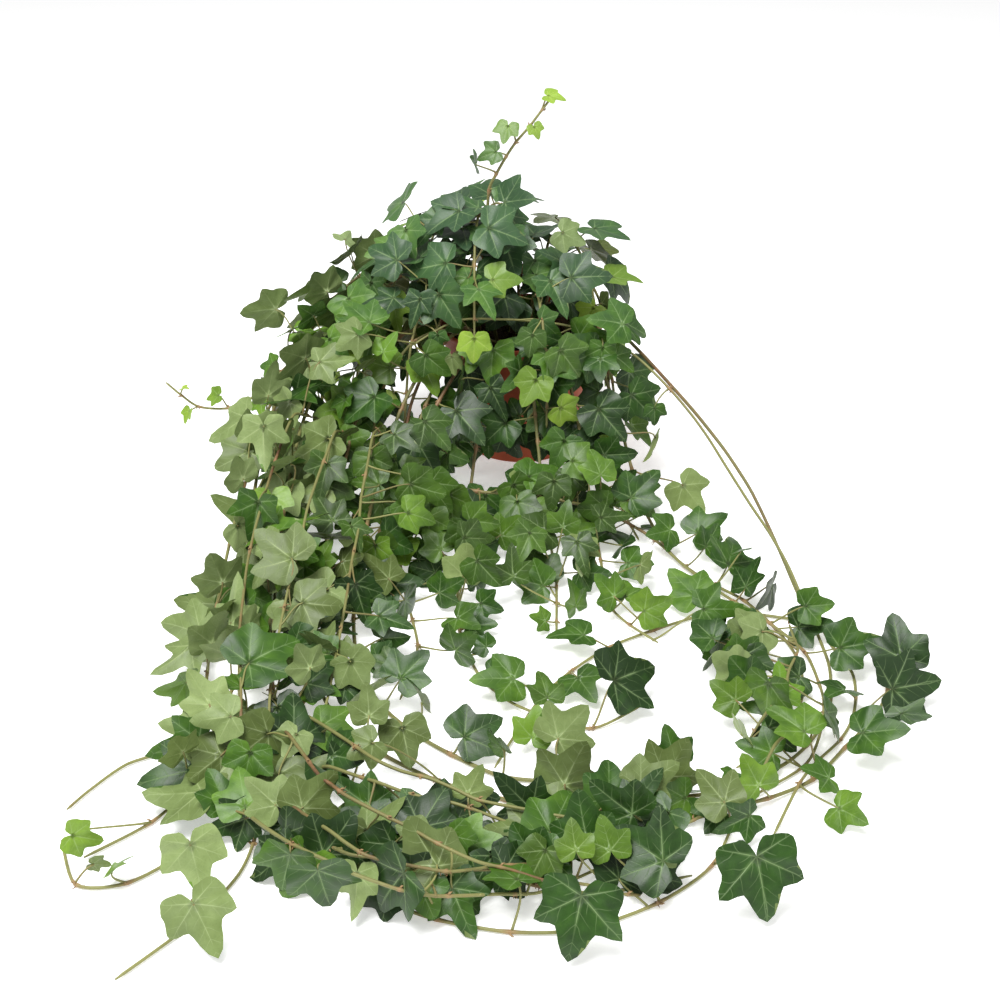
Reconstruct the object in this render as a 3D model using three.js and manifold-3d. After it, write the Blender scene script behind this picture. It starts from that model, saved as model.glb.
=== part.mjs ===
// Potted english ivy: a plastic nursery pot, its soil, and leafy stems that rise, arch over the rim
// and trail along the surface that the pot stands on.
// Millimetres, +Z up. The origin is the centre of the pot's base, on that surface; -Y is the front.

import * as THREE from "three";
import { mergeVertices } from "three/addons/utils/BufferGeometryUtils.js";
import Module from "manifold-3d";

const wasm = await Module();
wasm.setup();

// Pot: a 13 cm nursery pot
const POT_HEIGHT = 105;
const POT_BASE_RADIUS = 44;
const POT_TOP_RADIUS = 65;
const BAND_BOTTOM = 78;
const BAND_STEP = 2.5;
const POT_BODY_RADIUS = 57.5; // just under the rim band
const POT_WALL = 1.6;
const POT_SIDES = 24;
const DRAIN_HOLES = 4;
const DRAIN_RADIUS = 4.5;
const DRAIN_CIRCLE = 27;

// Soil
const SOIL_TOP = 93;
const HOLE_DEPTH = 14;
const HOLE_RADIUS = 2.7;
const GAP = 0.3; // between touching pieces

// Stems and leaves
const STEM_ROOT_RADIUS = 1.6;
const STEM_TIP_RADIUS = 1.0;
const STEM_SIDES = 3;
const BARE_STEP = 30; // between the points of a stem where it has no leaves
const FOOT = 2.4; // length of a stalk's foot along the stem
const BLADE = 0.7; // thickness of a leaf blade
const PETIOLE = 0.65; // half the width of a leaf stalk
const KEEL = 0.45; // how far a stalk stands out under the blade
const STALK_REACH = 0.9; // radius of a round stalk that holds the three-sided one
const NECK = 3; // stalk that lies in line with the blade before it bends
const STRAIGHT = 0.55; // cosine between blade and stalk under which the stalk bends
const OVER = 0.4; // cosine over which a stalk that comes from above the blade bends too
const BESIDE = 0.6; // cosine over which a stalk that comes from beside the blade bends too
const ASKEW = 0.75; // most sideways a stalk may come to its blade, as a cosine
const SHALLOW = 0.3; // least that a stalk stands out of the stem's side, as a cosine
const FIVE_LOBES_FROM = 41; // width of a leaf
const YOUNG_END = 60; // length of a stem's end where leaves are young
const YOUNG_LESS = 0.35; // how much narrower the youngest leaf is
const LOOSE = 0.5; // how freely leaves lean
const PICK_REACH = 60; // longest stalk of a leaf set by hand
const PICK_LEAST = 7;
const PICK_CHOICES = 5; // stem points tried for it
const LOW = 30; // height under which stems lie rather than hang
const BEND_MARGIN = 0.3;
const CLEAR = 0.35; // least gap between two leafy stems
const OWN_CLEAR = 1.3; // least gap between a leaf's stalk and its own blade
const STALK_START = 5; // length of a stalk that may run close beside its stem
const FLOOR_CLEAR = 0.15;
const TRIES = 26; // poses tried for one leaf

// Leaf outlines: angle from the middle vein in degrees, and length as a share of the middle lobe,
// from the tip of the middle lobe round to the lobe beside the stalk
const FIVE_LOBES = [
  [0, 1],
  [29, 0.5],
  [54, 0.78],
  [74, 0.5],
  [110, 0.56],
];
const THREE_LOBES = [
  [0, 1],
  [31, 0.49],
  [56, 0.76],
  [112, 0.5],
];
const WIDTH_TO_LOBE = 0.8; // length of the middle lobe over the width of the leaf

// Where leaves turn to: out of the middle of the crown, or one way for a whole stem
const CROWN_HEART = [0, 0, 70];
const VIEWER = [0, -0.8, 0.6];
const AWAY = [-0.45, 0.75, 0.3];
const SKY = [0, -0.6, 0.8];
const CROWN_TO_VIEWER = 0.35; // how much crown leaves turn to the front

// Leaves set by hand where they shape the outline: the place of the notch, the end of the middle lobe,
// and whether the pale underside is to the front. Each grows from the nearest point of a stem behind it.
const FRONT = 1;
const UNDER = -1;
const PICKED = [
  [[110, -554, 34], [117, -574, 5], FRONT],
  [[22, -582, 34], [15, -600, 5], FRONT],
  [[65, -546, 24], [38, -530, 34], FRONT],
  [[18, -480, 20], [28, -478, 50], UNDER],
  [[16, -436, 18], [34, -432, 40], UNDER],
  [[58, -492, 28], [78, -485, 40], UNDER],
  [[80, -455, 20], [75, -449, 38], FRONT],
  [[92, -474, 22], [70, -456, 18], FRONT],
  [[51, -387, 24], [80, -364, 22], FRONT],
  [[101, -342, 38], [108, -347, 8], FRONT],
  [[130, -358, 40], [138, -362, 12], FRONT],
  [[140, -404, 34], [138, -408, 8], FRONT],
  [[170, -425, 28], [182, -428, 8], FRONT],
  [[219, -384, 16], [253, -377, 18], FRONT],
  [[124, -478, 18], [114, -474, 36], FRONT],
  [[-186, -195, 30], [-221, -200, 47], UNDER],
  [[-197, -285, 14], [-234, -290, 20], UNDER],
  [[-142, -290, 14], [-135, -286, 48], UNDER],
  [[-196, -352, 6], [-196, -346, 40], UNDER],
  [[-198, -372, 8], [-228, -376, 12], UNDER],
  [[-178, -486, 20], [-212, -480, 10], UNDER],
  [[-238, -524, 22], [-222, -522, 16], FRONT],
  [[-172, -545, 34], [-166, -553, 8], UNDER],
  [[-164, -583, 30], [-152, -590, 4], UNDER],
  [[-106, -564, 34], [-102, -562, 6], FRONT],
  [[-64, -566, 34], [-80, -562, 8], FRONT],
  [[-122, -548, 30], [-128, -548, 5], FRONT],
  [[54, -20, 153], [84, -30, 136], FRONT],
  [[31, -10, 181], [50, -12, 170], UNDER],
  [[19, 0, 283], [33, -3, 282], FRONT],
  [[10, 0, 265], [22, 0, 275], FRONT],
  [[0, 0, 259], [-14, 0, 260], FRONT],
  [[-20, 0, 241], [-35, 0, 236], FRONT],
  [[-271, -62, 73], [-285, -62, 84], FRONT],
  [[-261, -62, 69], [-246, -62, 66], FRONT],
  [[-36, -97, 128], [-36, -102, 108], FRONT],
  [[-63, -95, 130], [-61, -97, 118], FRONT],
  [[7, -95, 130], [4, -100, 112], FRONT],
  [[98, -110, 78], [99, -112, 64], FRONT],
  [[117, -150, 34], [134, -156, 14], UNDER],
  [[-134, -510, 30], [-150, -501, 42], UNDER],
  [[-120, -512, 30], [-103, -500, 46], UNDER],
  [[-153, -470, 34], [-157, -483, 16], FRONT],
  [[-182, -485, 14], [-204, -486, 13], UNDER],
  [[-172, -540, 18], [-188, -546, 8], UNDER],
  [[-184, -420, 30], [-197, -408, 46], UNDER],
  [[-190, -426, 18], [-213, -425, 20], UNDER],
  [[-167, -445, 40], [-189, -447, 37], UNDER],
  [[-123, -539, 22], [-126, -550, 5], FRONT],
  [[-88, -555, 24], [-88, -567, 5], UNDER],
  [[-42, -558, 20], [-60, -566, 9], UNDER],
  [[-43, -531, 28], [-34, -542, 12], FRONT],
  [[-56, -528, 24], [-74, -535, 14], UNDER],
  [[-94, -515, 32], [-97, -528, 14], FRONT],
  [[-87, -461, 34], [-103, -466, 26], UNDER],
  [[-72, -442, 30], [-66, -456, 10], UNDER],
  [[-90, -445, 40], [-91, -435, 56], UNDER],
  [[-34, -493, 24], [-27, -484, 37], UNDER],
  [[21, -545, 30], [18, -535, 44], FRONT],
  [[39, -540, 26], [34, -529, 42], FRONT],
  [[-17, -529, 30], [-6, -539, 16], FRONT],
  [[6, -540, 26], [-4, -550, 12], FRONT],
  [[120, -346, 28], [109, -359, 8], FRONT],
  [[133, -362, 26], [136, -376, 7], FRONT],
  [[122, -401, 20], [106, -393, 30], FRONT],
  [[135, -407, 24], [118, -415, 13], FRONT],
];

// Each leafy stem: its hole in the soil, the points that its stem runs through, the gap between
// leaves, the widths of its first and last leaves, and where they face at its root and at its tip
const VINES = [
  {
    name: "crown_top_left",
    hole: [-10, 10],
    route: [
      [-15, 12, 138], [-30, 8, 176], [-54, 0, 190], [-80, -12, 176], [-100, -28, 142], [-110, -44, 104],
    ],
    gaps: [22, 20],
    widths: [44, 34],
    lean: [0.4, -0.4, -0.4],
  },
  {
    name: "crown_top",
    hole: [5, 0],
    route: [
      [0, 0, 148], [-15, -5, 188], [-30, -20, 202], [-35, -45, 192], [-36, -70, 164], [-36, -90, 124],
    ],
    gaps: [22, 20],
    widths: [46, 36],
  },
  {
    name: "crown_top_right",
    hole: [15, 15],
    route: [
      [18, 18, 143], [22, 15, 168], [34, 4, 174], [48, -12, 160], [56, -30, 132], [60, -46, 100],
    ],
    gaps: [22, 20],
    widths: [44, 36],
  },
  {
    name: "crown_right",
    hole: [27, 8],
    route: [
      [30, 10, 130], [42, 8, 142], [56, 0, 134], [68, -10, 108], [74, -20, 74],
    ],
    gaps: [22, 20],
    widths: [42, 34],
    lean: [-0.4, -0.3, -0.2],
  },
  {
    name: "crown_front_right",
    hole: [34, -15],
    route: [
      [42, -28, 125], [54, -46, 126], [64, -62, 106], [70, -76, 76], [72, -86, 46],
    ],
    gaps: [22, 20],
    widths: [42, 36],
  },
  {
    name: "crown_front",
    hole: [6, -24],
    route: [[8, -40, 136], [12, -62, 148], [15, -84, 130], [18, -98, 95], [18, -106, 60]],
    gaps: [22, 20],
    widths: [44, 36],
  },
  {
    name: "crown_front_left",
    hole: [-20, -12],
    route: [
      [-34, -22, 142], [-54, -42, 162], [-72, -62, 148], [-84, -80, 114], [-88, -96, 74],
      [-90, -110, 44],
    ],
    gaps: [22, 20],
    widths: [44, 36],
  },
  {
    name: "crown_left",
    hole: [-34, 8],
    route: [
      [-54, 8, 132], [-82, 4, 145], [-108, -8, 134], [-124, -26, 104], [-130, -44, 70],
    ],
    gaps: [22, 20],
    widths: [42, 34],
    lean: [0.5, -0.4, -0.3],
  },
  {
    name: "crown_drop",
    hole: [-34, -34],
    route: [
      [-50, -50, 115], [-76, -66, 118], [-100, -80, 94], [-112, -96, 60], [-114, -112, 28],
    ],
    gaps: [22, 20],
    widths: [42, 36],
    face: VIEWER,
  },
  {
    name: "crown_back_left",
    hole: [-20, 25],
    route: [[-30, 40, 143], [-50, 60, 168], [-70, 80, 154], [-85, 95, 118]],
    gaps: [24, 24],
    widths: [42, 34],
  },
  {
    name: "crown_back_right",
    hole: [18, 28],
    route: [[28, 45, 133], [40, 62, 150], [54, 80, 134], [62, 92, 98]],
    gaps: [24, 24],
    widths: [42, 34],
  },
  {
    name: "crown_back",
    hole: [0, 32],
    route: [[-5, 42, 148], [-13, 48, 180], [-22, 62, 184], [-28, 82, 158]],
    gaps: [24, 24],
    widths: [42, 36],
  },
  {
    name: "sprig",
    hole: [-6, -4],
    route: [[-20, -4, 150], [-28, -2, 200], [-12, 0, 238], [5, 0, 260], [20, 0, 280]],
    bare: 95,
    gaps: [14, 14],
    widths: [30, 18],
    face: VIEWER,
  },
  {
    name: "spray",
    hole: [-44, -8],
    route: [
      [-66, -2, 118], [-105, -6, 126], [-150, -20, 111], [-186, -40, 80], [-218, -52, 56], [-250, -60, 56],
      [-275, -62, 78],
    ],
    gaps: [32, 18],
    widths: [38, 14],
    face: [-0.5, -0.6, 0.6],
  },
  {
    name: "left_outer",
    hole: [-42, 12],
    route: [
      [-60, 15, 124], [-98, 12, 142], [-138, 0, 130], [-168, -30, 104], [-184, -80, 79],
      [-192, -140, 55], [-192, -200, 36], [-189, -260, 20], [-184, -320, 8], [-175, -380, 2],
      [-166, -425, 2], [-150, -475, 2], [-122, -518, 2], [-68, -555, 2], [-30, -569, 2], [10, -573, 2],
      [53, -559, 2], [99, -518, 2], [114, -480, 2],
    ],
    gaps: [36, 38],
    widths: [40, 38],
    face: AWAY,
    endFace: VIEWER,
    lean: [0.7, 0, 0],
    endLean: [0, 0, 0],
  },
  {
    name: "left_upper",
    hole: [-40, -2],
    route: [
      [-60, -5, 120], [-95, -10, 133], [-130, -30, 120], [-150, -70, 94], [-163, -120, 71],
      [-168, -180, 47], [-168, -240, 28], [-165, -300, 12], [-158, -360, 3], [-140, -410, 2],
      [-101, -460, 2], [-43, -518, 2], [14, -543, 2], [50, -543, 2], [82, -535, 2],
    ],
    gaps: [36, 34],
    widths: [40, 36],
    face: AWAY,
    endFace: VIEWER,
  },
  {
    name: "left_loop",
    hole: [-38, -15],
    route: [
      [-58, -25, 117], [-85, -45, 118], [-108, -75, 98], [-124, -115, 71], [-132, -165, 46],
      [-138, -220, 25], [-139, -280, 10], [-135, -340, 3], [-112, -400, 2], [-57, -451, 2],
      [7, -478, 2], [57, -493, 2], [92, -487, 2], [147, -464, 2], [188, -418, 2], [219, -373, 2],
      [226, -329, 2], [212, -300, 2], [182, -285, 2], [130, -275, 2], [89, -294, 2], [47, -323, 2],
      [8, -373, 2], [-14, -428, 2], [-20, -446, 5],
    ],
    gaps: [40, 40],
    widths: [40, 34],
    face: AWAY,
    endFace: SKY,
    lean: [0, 0, 0],
    endLean: [-0.8, 0, 0],
    open: [925, 1045],
  },
  {
    name: "left_arc",
    hole: [-30, -28],
    route: [
      [-46, -47, 115], [-68, -75, 106], [-90, -105, 77], [-104, -150, 47], [-112, -200, 23],
      [-115, -260, 6], [-110, -320, 2], [-90, -380, 2], [-50, -425, 2], [5, -452, 2], [60, -468, 2],
      [110, -462, 2], [150, -435, 2], [178, -395, 2], [190, -350, 2], [190, -310, 4], [184, -280, 14],
      [174, -240, 30], [153, -190, 50], [130, -130, 72], [104, -90, 92], [75, -66, 110], [40, -64, 124],
      [-10, -74, 134], [-50, -82, 136], [-72, -86, 132], [-84, -88, 118],
    ],
    gaps: [33, 34],
    widths: [40, 18],
    face: VIEWER,
    endFace: VIEWER,
    leafy: 0.52,
  },
  {
    name: "left_far",
    hole: [-30, 30],
    route: [
      [-50, 38, 122], [-85, 40, 138], [-126, 25, 136], [-156, 0, 116], [-176, -45, 93],
      [-188, -100, 72], [-197, -160, 54], [-201, -220, 38], [-202, -280, 23], [-200, -340, 11],
      [-196, -388, 3], [-204, -420, 2], [-234, -442, 2], [-255, -479, 2],
    ],
    gaps: [33, 32],
    widths: [40, 34],
    face: AWAY,
    leafy: 0.86,
    lean: [0.9, -0.3, 0],
    endLean: [0, 0, 0],
  },
  {
    name: "left_back",
    hole: [-20, 40],
    route: [
      [-36, 54, 122], [-70, 62, 136], [-110, 50, 131], [-140, 20, 113], [-154, -30, 91],
      [-152, -90, 69], [-150, -150, 47], [-154, -210, 30], [-160, -270, 16], [-167, -330, 5],
      [-176, -390, 2], [-182, -430, 2], [-194, -468, 2], [-214, -500, 2], [-236, -518, 2],
    ],
    gaps: [36, 30],
    widths: [40, 32],
    face: AWAY,
  },
  {
    name: "left_inner",
    hole: [-15, -36],
    route: [
      [-28, -58, 113], [-50, -85, 96], [-75, -120, 62], [-95, -165, 32], [-108, -215, 11], [-118, -270, 3],
      [-128, -330, 2], [-138, -390, 2], [-150, -440, 2], [-165, -485, 2], [-182, -512, 2], [-202, -533, 2],
      [-224, -542, 2], [-246, -530, 2], [-250, -508, 5],
    ],
    gaps: [31, 34],
    widths: [40, 28],
    face: VIEWER,
    endFace: AWAY,
  },
  {
    name: "left_long",
    hole: [-44, 22],
    route: [
      [-65, 30, 125], [-102, 35, 134], [-142, 20, 125], [-172, -15, 101], [-179, -70, 78],
      [-177, -130, 58], [-178, -190, 40], [-172, -250, 25], [-166, -310, 13], [-157, -370, 4],
      [-148, -430, 2], [-144, -480, 2], [-150, -522, 2], [-165, -559, 2], [-200, -604, 2],
    ],
    gaps: [36, 31],
    widths: [40, 34],
    face: AWAY,
    leafy: 0.84,
  },
  {
    name: "front_middle",
    hole: [2, -42],
    route: [
      [3, -60, 113], [6, -80, 98], [10, -98, 62], [14, -125, 28], [18, -170, 6], [22, -225, 2],
      [20, -300, 2],
    ],
    gaps: [22, 22],
    widths: [40, 28],
    face: VIEWER,
  },
  {
    name: "front_brown",
    hole: [-12, -43],
    route: [
      [-16, -62, 112], [-26, -84, 92], [-34, -106, 52], [-40, -140, 18], [-45, -190, 3], [-46, -250, 2],
      [-42, -306, 2], [-24, -362, 2], [8, -396, 2], [42, -404, 2], [68, -385, 4],
    ],
    gaps: [28, 28],
    widths: [40, 20],
    face: VIEWER,
  },
  {
    name: "front_right",
    hole: [16, -40],
    route: [
      [22, -60, 112], [34, -82, 92], [44, -106, 52], [50, -140, 18], [54, -190, 3], [56, -240, 2],
      [62, -285, 2], [85, -315, 2],
    ],
    gaps: [25, 25],
    widths: [40, 32],
    face: VIEWER,
  },
  {
    name: "front_trail",
    hole: [30, -32],
    route: [
      [40, -47, 118], [60, -74, 95], [74, -98, 58], [84, -130, 28], [95, -170, 8], [112, -210, 2],
      [135, -245, 2], [155, -280, 2], [172, -325, 2], [168, -373, 2], [145, -420, 2], [118, -442, 2],
    ],
    gaps: [32, 32],
    widths: [40, 36],
    face: VIEWER,
  },
  {
    name: "front_left",
    hole: [-28, -40],
    route: [
      [-38, -58, 113], [-60, -82, 96], [-80, -108, 58], [-88, -150, 22], [-88, -205, 4], [-80, -260, 2],
      [-70, -320, 2], [-78, -375, 2],
    ],
    gaps: [27, 27],
    widths: [40, 34],
    face: VIEWER,
  },
  {
    name: "front_crossing",
    hole: [-40, -25],
    route: [
      [-53, -40, 117], [-78, -76, 86], [-88, -112, 54], [-72, -142, 34], [-35, -152, 30], [5, -155, 28],
      [45, -160, 22], [85, -178, 12], [118, -225, 3], [142, -262, 2], [162, -300, 2], [180, -345, 2],
      [176, -400, 2], [150, -450, 2], [118, -475, 2],
    ],
    gaps: [36, 32],
    widths: [38, 34],
    face: VIEWER,
  },
  {
    name: "right_drop",
    hole: [43, -10],
    route: [
      [58, -22, 112], [66, -40, 92], [68, -62, 60], [70, -90, 30], [74, -130, 8], [84, -175, 2],
    ],
    gaps: [22, 22],
    widths: [38, 30],
    face: [0.5, -0.6, 0.6],
  },
  {
    name: "right_arc",
    hole: [42, 10],
    route: [
      [57, 2, 113], [76, -25, 107], [97, -60, 95], [131, -118, 73], [160, -170, 46], [180, -230, 15],
      [188, -270, 3], [196, -310, 2], [204, -350, 2], [192, -400, 2], [165, -440, 2], [130, -500, 2],
    ],
    gaps: [30, 28],
    widths: [34, 36],
    face: VIEWER,
    leafy: 1,
    bare: 430,
  },
];

// Repeatable draws between 0 and 1
function drawer(seed) {
  let state = (seed * 7919 + 12345) % 4294967296;
  const draw = () => {
    state = (state * 1664525 + 1013904223) % 4294967296;
    return state / 4294967296;
  };
  draw();
  draw();
  return draw;
}

const vec = (p) => new THREE.Vector3(p[0], p[1], p[2]);
const mixed = (a, b, t) => a.clone().lerp(b, t).normalize();

// How near two straight runs come to each other, and where on each
function nearest(a, b, c, d) {
  const u = b.clone().sub(a);
  const v = d.clone().sub(c);
  const w = a.clone().sub(c);
  const uu = u.dot(u);
  const vv = v.dot(v);
  const uv = u.dot(v);
  const wu = w.dot(u);
  const wv = w.dot(v);
  const spread = uu * vv - uv * uv;
  let s = spread > 1e-9 * uu * vv ? THREE.MathUtils.clamp((uv * wv - vv * wu) / spread, 0, 1) : 0.5;
  const t = THREE.MathUtils.clamp((uv * s + wv) / vv, 0, 1);
  s = THREE.MathUtils.clamp((uv * t - wu) / uu, 0, 1);
  const offset = w.addScaledVector(u, s).addScaledVector(v, -t);
  return { s, t, offset, distance: offset.length() };
}

// Whether an edge comes nearer than a distance to the inside of a triangle
function edgeNearFace(p, q, face, reach) {
  const [a, b, c] = face;
  const normal = b.clone().sub(a).cross(c.clone().sub(a)).normalize();
  const hp = p.clone().sub(a).dot(normal);
  const hq = q.clone().sub(a).dot(normal);
  let t = hp * hq < 0 ? hp / (hp - hq) : 0;
  if (hp * hq >= 0 && Math.abs(hq) < Math.abs(hp)) t = 1;
  const x = p.clone().lerp(q, t);
  if (Math.abs(hp + (hq - hp) * t) >= reach) return false;
  return [[a, b], [b, c], [c, a]].every(([from, to]) => {
    const across = to.clone().sub(from).cross(x.clone().sub(from));
    return across.dot(normal) >= 0;
  });
}

// A bone is a straight run (2 points) or a triangle (3 points) with a thickness round it
function makeBone(points, radius, vine, kind) {
  const box = new THREE.Box3().setFromPoints(points).expandByScalar(radius);
  const edges = points.length === 2 ? [[0, 1]] : [[0, 1], [1, 2], [2, 0]];
  return { points, radius, vine, kind, box, edges: edges.map(([i, j]) => [points[i], points[j]]) };
}

function tooNear(one, other, gap) {
  const reach = one.radius + other.radius + gap;
  if (!one.box.clone().expandByScalar(gap).intersectsBox(other.box)) return false;
  const close = ([a, b]) => other.edges.some(([c, d]) => nearest(a, b, c, d).distance < reach);
  const pierces = (face) => ([a, b]) => edgeNearFace(a, b, face, reach);
  const meets = (edges, face) => face.length === 3 && edges.some(pierces(face));
  return one.edges.some(close) || meets(one.edges, other.points) || meets(other.edges, one.points);
}

// A closed geometry as a solid for joins and cuts
function solidOf(geometry) {
  const bare = geometry.clone();
  bare.deleteAttribute("normal");
  bare.deleteAttribute("uv");
  const merged = mergeVertices(bare, 1e-4);
  return new wasm.Manifold(
    new wasm.Mesh({
      numProp: 3,
      vertProperties: merged.attributes.position.array,
      triVerts: new Uint32Array(merged.index.array),
    }),
  );
}

function geometryOf(body) {
  const made = body.getMesh();
  const geometry = new THREE.BufferGeometry();
  const stride = made.numProp;
  const places = new Float32Array(made.numVert * 3);
  for (let i = 0; i < made.numVert; i += 1) {
    places.set(made.vertProperties.subarray(i * stride, i * stride + 3), i * 3);
  }
  geometry.setAttribute("position", new THREE.BufferAttribute(places, 3));
  geometry.setIndex(new THREE.BufferAttribute(made.triVerts, 1));
  geometry.computeVertexNormals();
  return geometry;
}

// A solid of revolution about Z from a profile of radius and height
function turned(profile, sides) {
  const points = profile.map(([r, z]) => new THREE.Vector2(r, z));
  return new THREE.LatheGeometry(points, sides).rotateX(Math.PI / 2);
}

function upright(radius, bottom, top, sides, x, y) {
  const post = new THREE.CylinderGeometry(radius, radius, top - bottom, sides);
  return post.rotateX(Math.PI / 2).translate(x, y, (top + bottom) / 2);
}

function potSolid() {
  const outer = [
    [0, 0],
    [POT_BASE_RADIUS, 0],
    [POT_BODY_RADIUS, BAND_BOTTOM],
    [POT_BODY_RADIUS + BAND_STEP, BAND_BOTTOM + 1],
    [POT_TOP_RADIUS, POT_HEIGHT],
  ];
  const inner = [
    [POT_TOP_RADIUS - POT_WALL, POT_HEIGHT],
    [POT_BODY_RADIUS + BAND_STEP - POT_WALL, BAND_BOTTOM + 3],
    [POT_BODY_RADIUS - POT_WALL, BAND_BOTTOM + 1],
    [POT_BASE_RADIUS - POT_WALL, POT_WALL],
    [0, POT_WALL],
  ];
  let pot = solidOf(turned([...outer, ...inner], POT_SIDES));
  for (let i = 0; i < DRAIN_HOLES; i += 1) {
    const angle = ((i + 0.5) / DRAIN_HOLES) * 2 * Math.PI;
    const x = DRAIN_CIRCLE * Math.cos(angle);
    const y = DRAIN_CIRCLE * Math.sin(angle);
    pot = pot.subtract(solidOf(upright(DRAIN_RADIUS, -1, POT_WALL + 1, 8, x, y)));
  }
  return pot;
}

function soilSolid() {
  const rimSlope = (POT_TOP_RADIUS - POT_BODY_RADIUS - BAND_STEP) / (POT_HEIGHT - BAND_BOTTOM - 3);
  const topRadius = POT_BODY_RADIUS + BAND_STEP - POT_WALL + rimSlope * (SOIL_TOP - BAND_BOTTOM - 3);
  const profile = [
    [0, POT_WALL + GAP],
    [POT_BASE_RADIUS - POT_WALL - GAP, POT_WALL + GAP],
    [POT_BODY_RADIUS - POT_WALL - GAP, BAND_BOTTOM + 1 + GAP],
    [POT_BODY_RADIUS + BAND_STEP - POT_WALL - 2 * GAP, BAND_BOTTOM + 3 + GAP],
    [topRadius - 2 * GAP, SOIL_TOP],
    [0, SOIL_TOP],
  ];
  let soil = solidOf(turned(profile, POT_SIDES));
  for (const { hole } of VINES) {
    const [x, y] = hole;
    soil = soil.subtract(solidOf(upright(HOLE_RADIUS, SOIL_TOP - HOLE_DEPTH, SOIL_TOP + 1, 4, x, y)));
  }
  return soil;
}

// The stem's points: a straight root in its hole, then one point for each leaf along a smooth curve
function stemPoints(vine, index) {
  const [x, y] = vine.hole;
  const root = new THREE.Vector3(x, y, SOIL_TOP - HOLE_DEPTH + GAP);
  const collar = new THREE.Vector3(x, y, SOIL_TOP + 3);
  const curve = new THREE.CatmullRomCurve3([collar, ...vine.route.map(vec)], false, "catmullrom", 0.5);
  const total = curve.getLength();
  const points = [root, collar];
  const draw = drawer(index + 1);
  const bareFrom = total * (vine.leafy ?? 1);
  let at = 0;
  for (;;) {
    const leafy = at >= (vine.bare ?? 0) && at < bareFrom;
    const gap = leafy ? THREE.MathUtils.lerp(...vine.gaps, at / total) : BARE_STEP;
    at += gap * THREE.MathUtils.lerp(0.8, 1.2, draw());
    if (at > total - 0.6 * gap) break;
    points.push(curve.getPointAt(at / total));
  }
  points.push(curve.getPointAt(1));
  return points;
}

function stemRadii(count) {
  return Array.from({ length: count }, (_, i) =>
    THREE.MathUtils.lerp(STEM_ROOT_RADIUS, STEM_TIP_RADIUS, i / (count - 1)),
  );
}

// Pushes a stem's points off the stems laid before it, and keeps them on the surface
function bendClear(points, radii, bones) {
  for (let round = 0; round < 80; round += 1) {
    let moved = false;
    for (let i = 1; i < points.length - 1; i += 1) {
      const a = points[i];
      const b = points[i + 1];
      for (const bone of bones) {
        if (bone.kind !== "stem") continue;
        const reach = radii[i] + bone.radius + CLEAR + BEND_MARGIN;
        const near = nearest(a, b, ...bone.points);
        if (near.distance >= reach) continue;
        moved = true;
        const ahead = b.clone().sub(a).normalize();
        const away = near.distance > 1e-3 ? near.offset.clone().normalize() : new THREE.Vector3(0, 0, 1);
        if (Math.max(a.z, b.z) < LOW) away.z += 1;
        away.addScaledVector(ahead, -away.dot(ahead)).normalize();
        const push = (reach - near.distance + 0.1) / ((1 - near.s) ** 2 + near.s ** 2);
        if (i > 1) a.addScaledVector(away, push * (1 - near.s));
        b.addScaledVector(away, push * near.s);
        a.z = Math.max(a.z, radii[i] + FLOOR_CLEAR);
        b.z = Math.max(b.z, radii[i + 1] + FLOOR_CLEAR);
      }
    }
    if (!moved) return;
  }
}

// The ring of corners round each point of a stem
function stemRings(points, radii) {
  let side = new THREE.Vector3(1, 0, 0);
  return points.map((p, i) => {
    const next = points[Math.min(i + 1, points.length - 1)];
    const ahead = next.clone().sub(points[Math.max(i - 1, 0)]).normalize();
    side = side.clone().addScaledVector(ahead, -side.dot(ahead)).normalize();
    const other = ahead.clone().cross(side);
    return Array.from({ length: STEM_SIDES }, (_, k) => {
      const angle = (k / STEM_SIDES) * 2 * Math.PI;
      return p
        .clone()
        .addScaledVector(side, radii[i] * Math.cos(angle))
        .addScaledVector(other, radii[i] * Math.sin(angle));
    });
  });
}

// The three corners on a stem's side that a leaf stalk grows from, just past one of its points
function stalkFoot(rings, i, reach) {
  const centre = rings[i].reduce((sum, p) => sum.add(p), new THREE.Vector3()).divideScalar(STEM_SIDES);
  const middle = (ring, k) => ring[k].clone().lerp(ring[(k + 1) % STEM_SIDES], 0.5);
  let best = 0;
  let most = -Infinity;
  for (let k = 0; k < STEM_SIDES; k += 1) {
    const facing = middle(rings[i], k).sub(centre).normalize().dot(reach);
    if (facing > most) [best, most] = [k, facing];
  }
  const run = middle(rings[i + 1], best).sub(middle(rings[i], best));
  const peak = middle(rings[i], best).addScaledVector(run, FOOT / run.length());
  const corners = [rings[i][best], rings[i][(best + 1) % STEM_SIDES], peak];
  const root = corners.reduce((sum, p) => sum.add(p), new THREE.Vector3()).divideScalar(3);
  return { side: best, corners, root };
}

function lengthOf(points) {
  return points.slice(1).reduce((sum, p, i) => sum + p.distanceTo(points[i]), 0);
}

// A leaf's outline on the middle of the blade, from the right lobe round to the left
function leafRim(leaf) {
  const { notch, tip, face, lobe, lobes, cup, droop } = leaf;
  const right = tip.clone().cross(face);
  const half = lobes.slice(1).map(([degrees, share]) => {
    const angle = THREE.MathUtils.degToRad(degrees);
    return [share * Math.sin(angle), share * Math.cos(angle)];
  });
  const place = ([x, y]) =>
    notch
      .clone()
      .addScaledVector(right, x * lobe)
      .addScaledVector(tip, y * lobe)
      .addScaledVector(face, lobe * (cup * Math.abs(x) - droop * y * Math.abs(y)));
  return [...half.slice().reverse().map(place), place([0, 1]), ...half.map(([x, y]) => place([-x, y]))];
}

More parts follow.
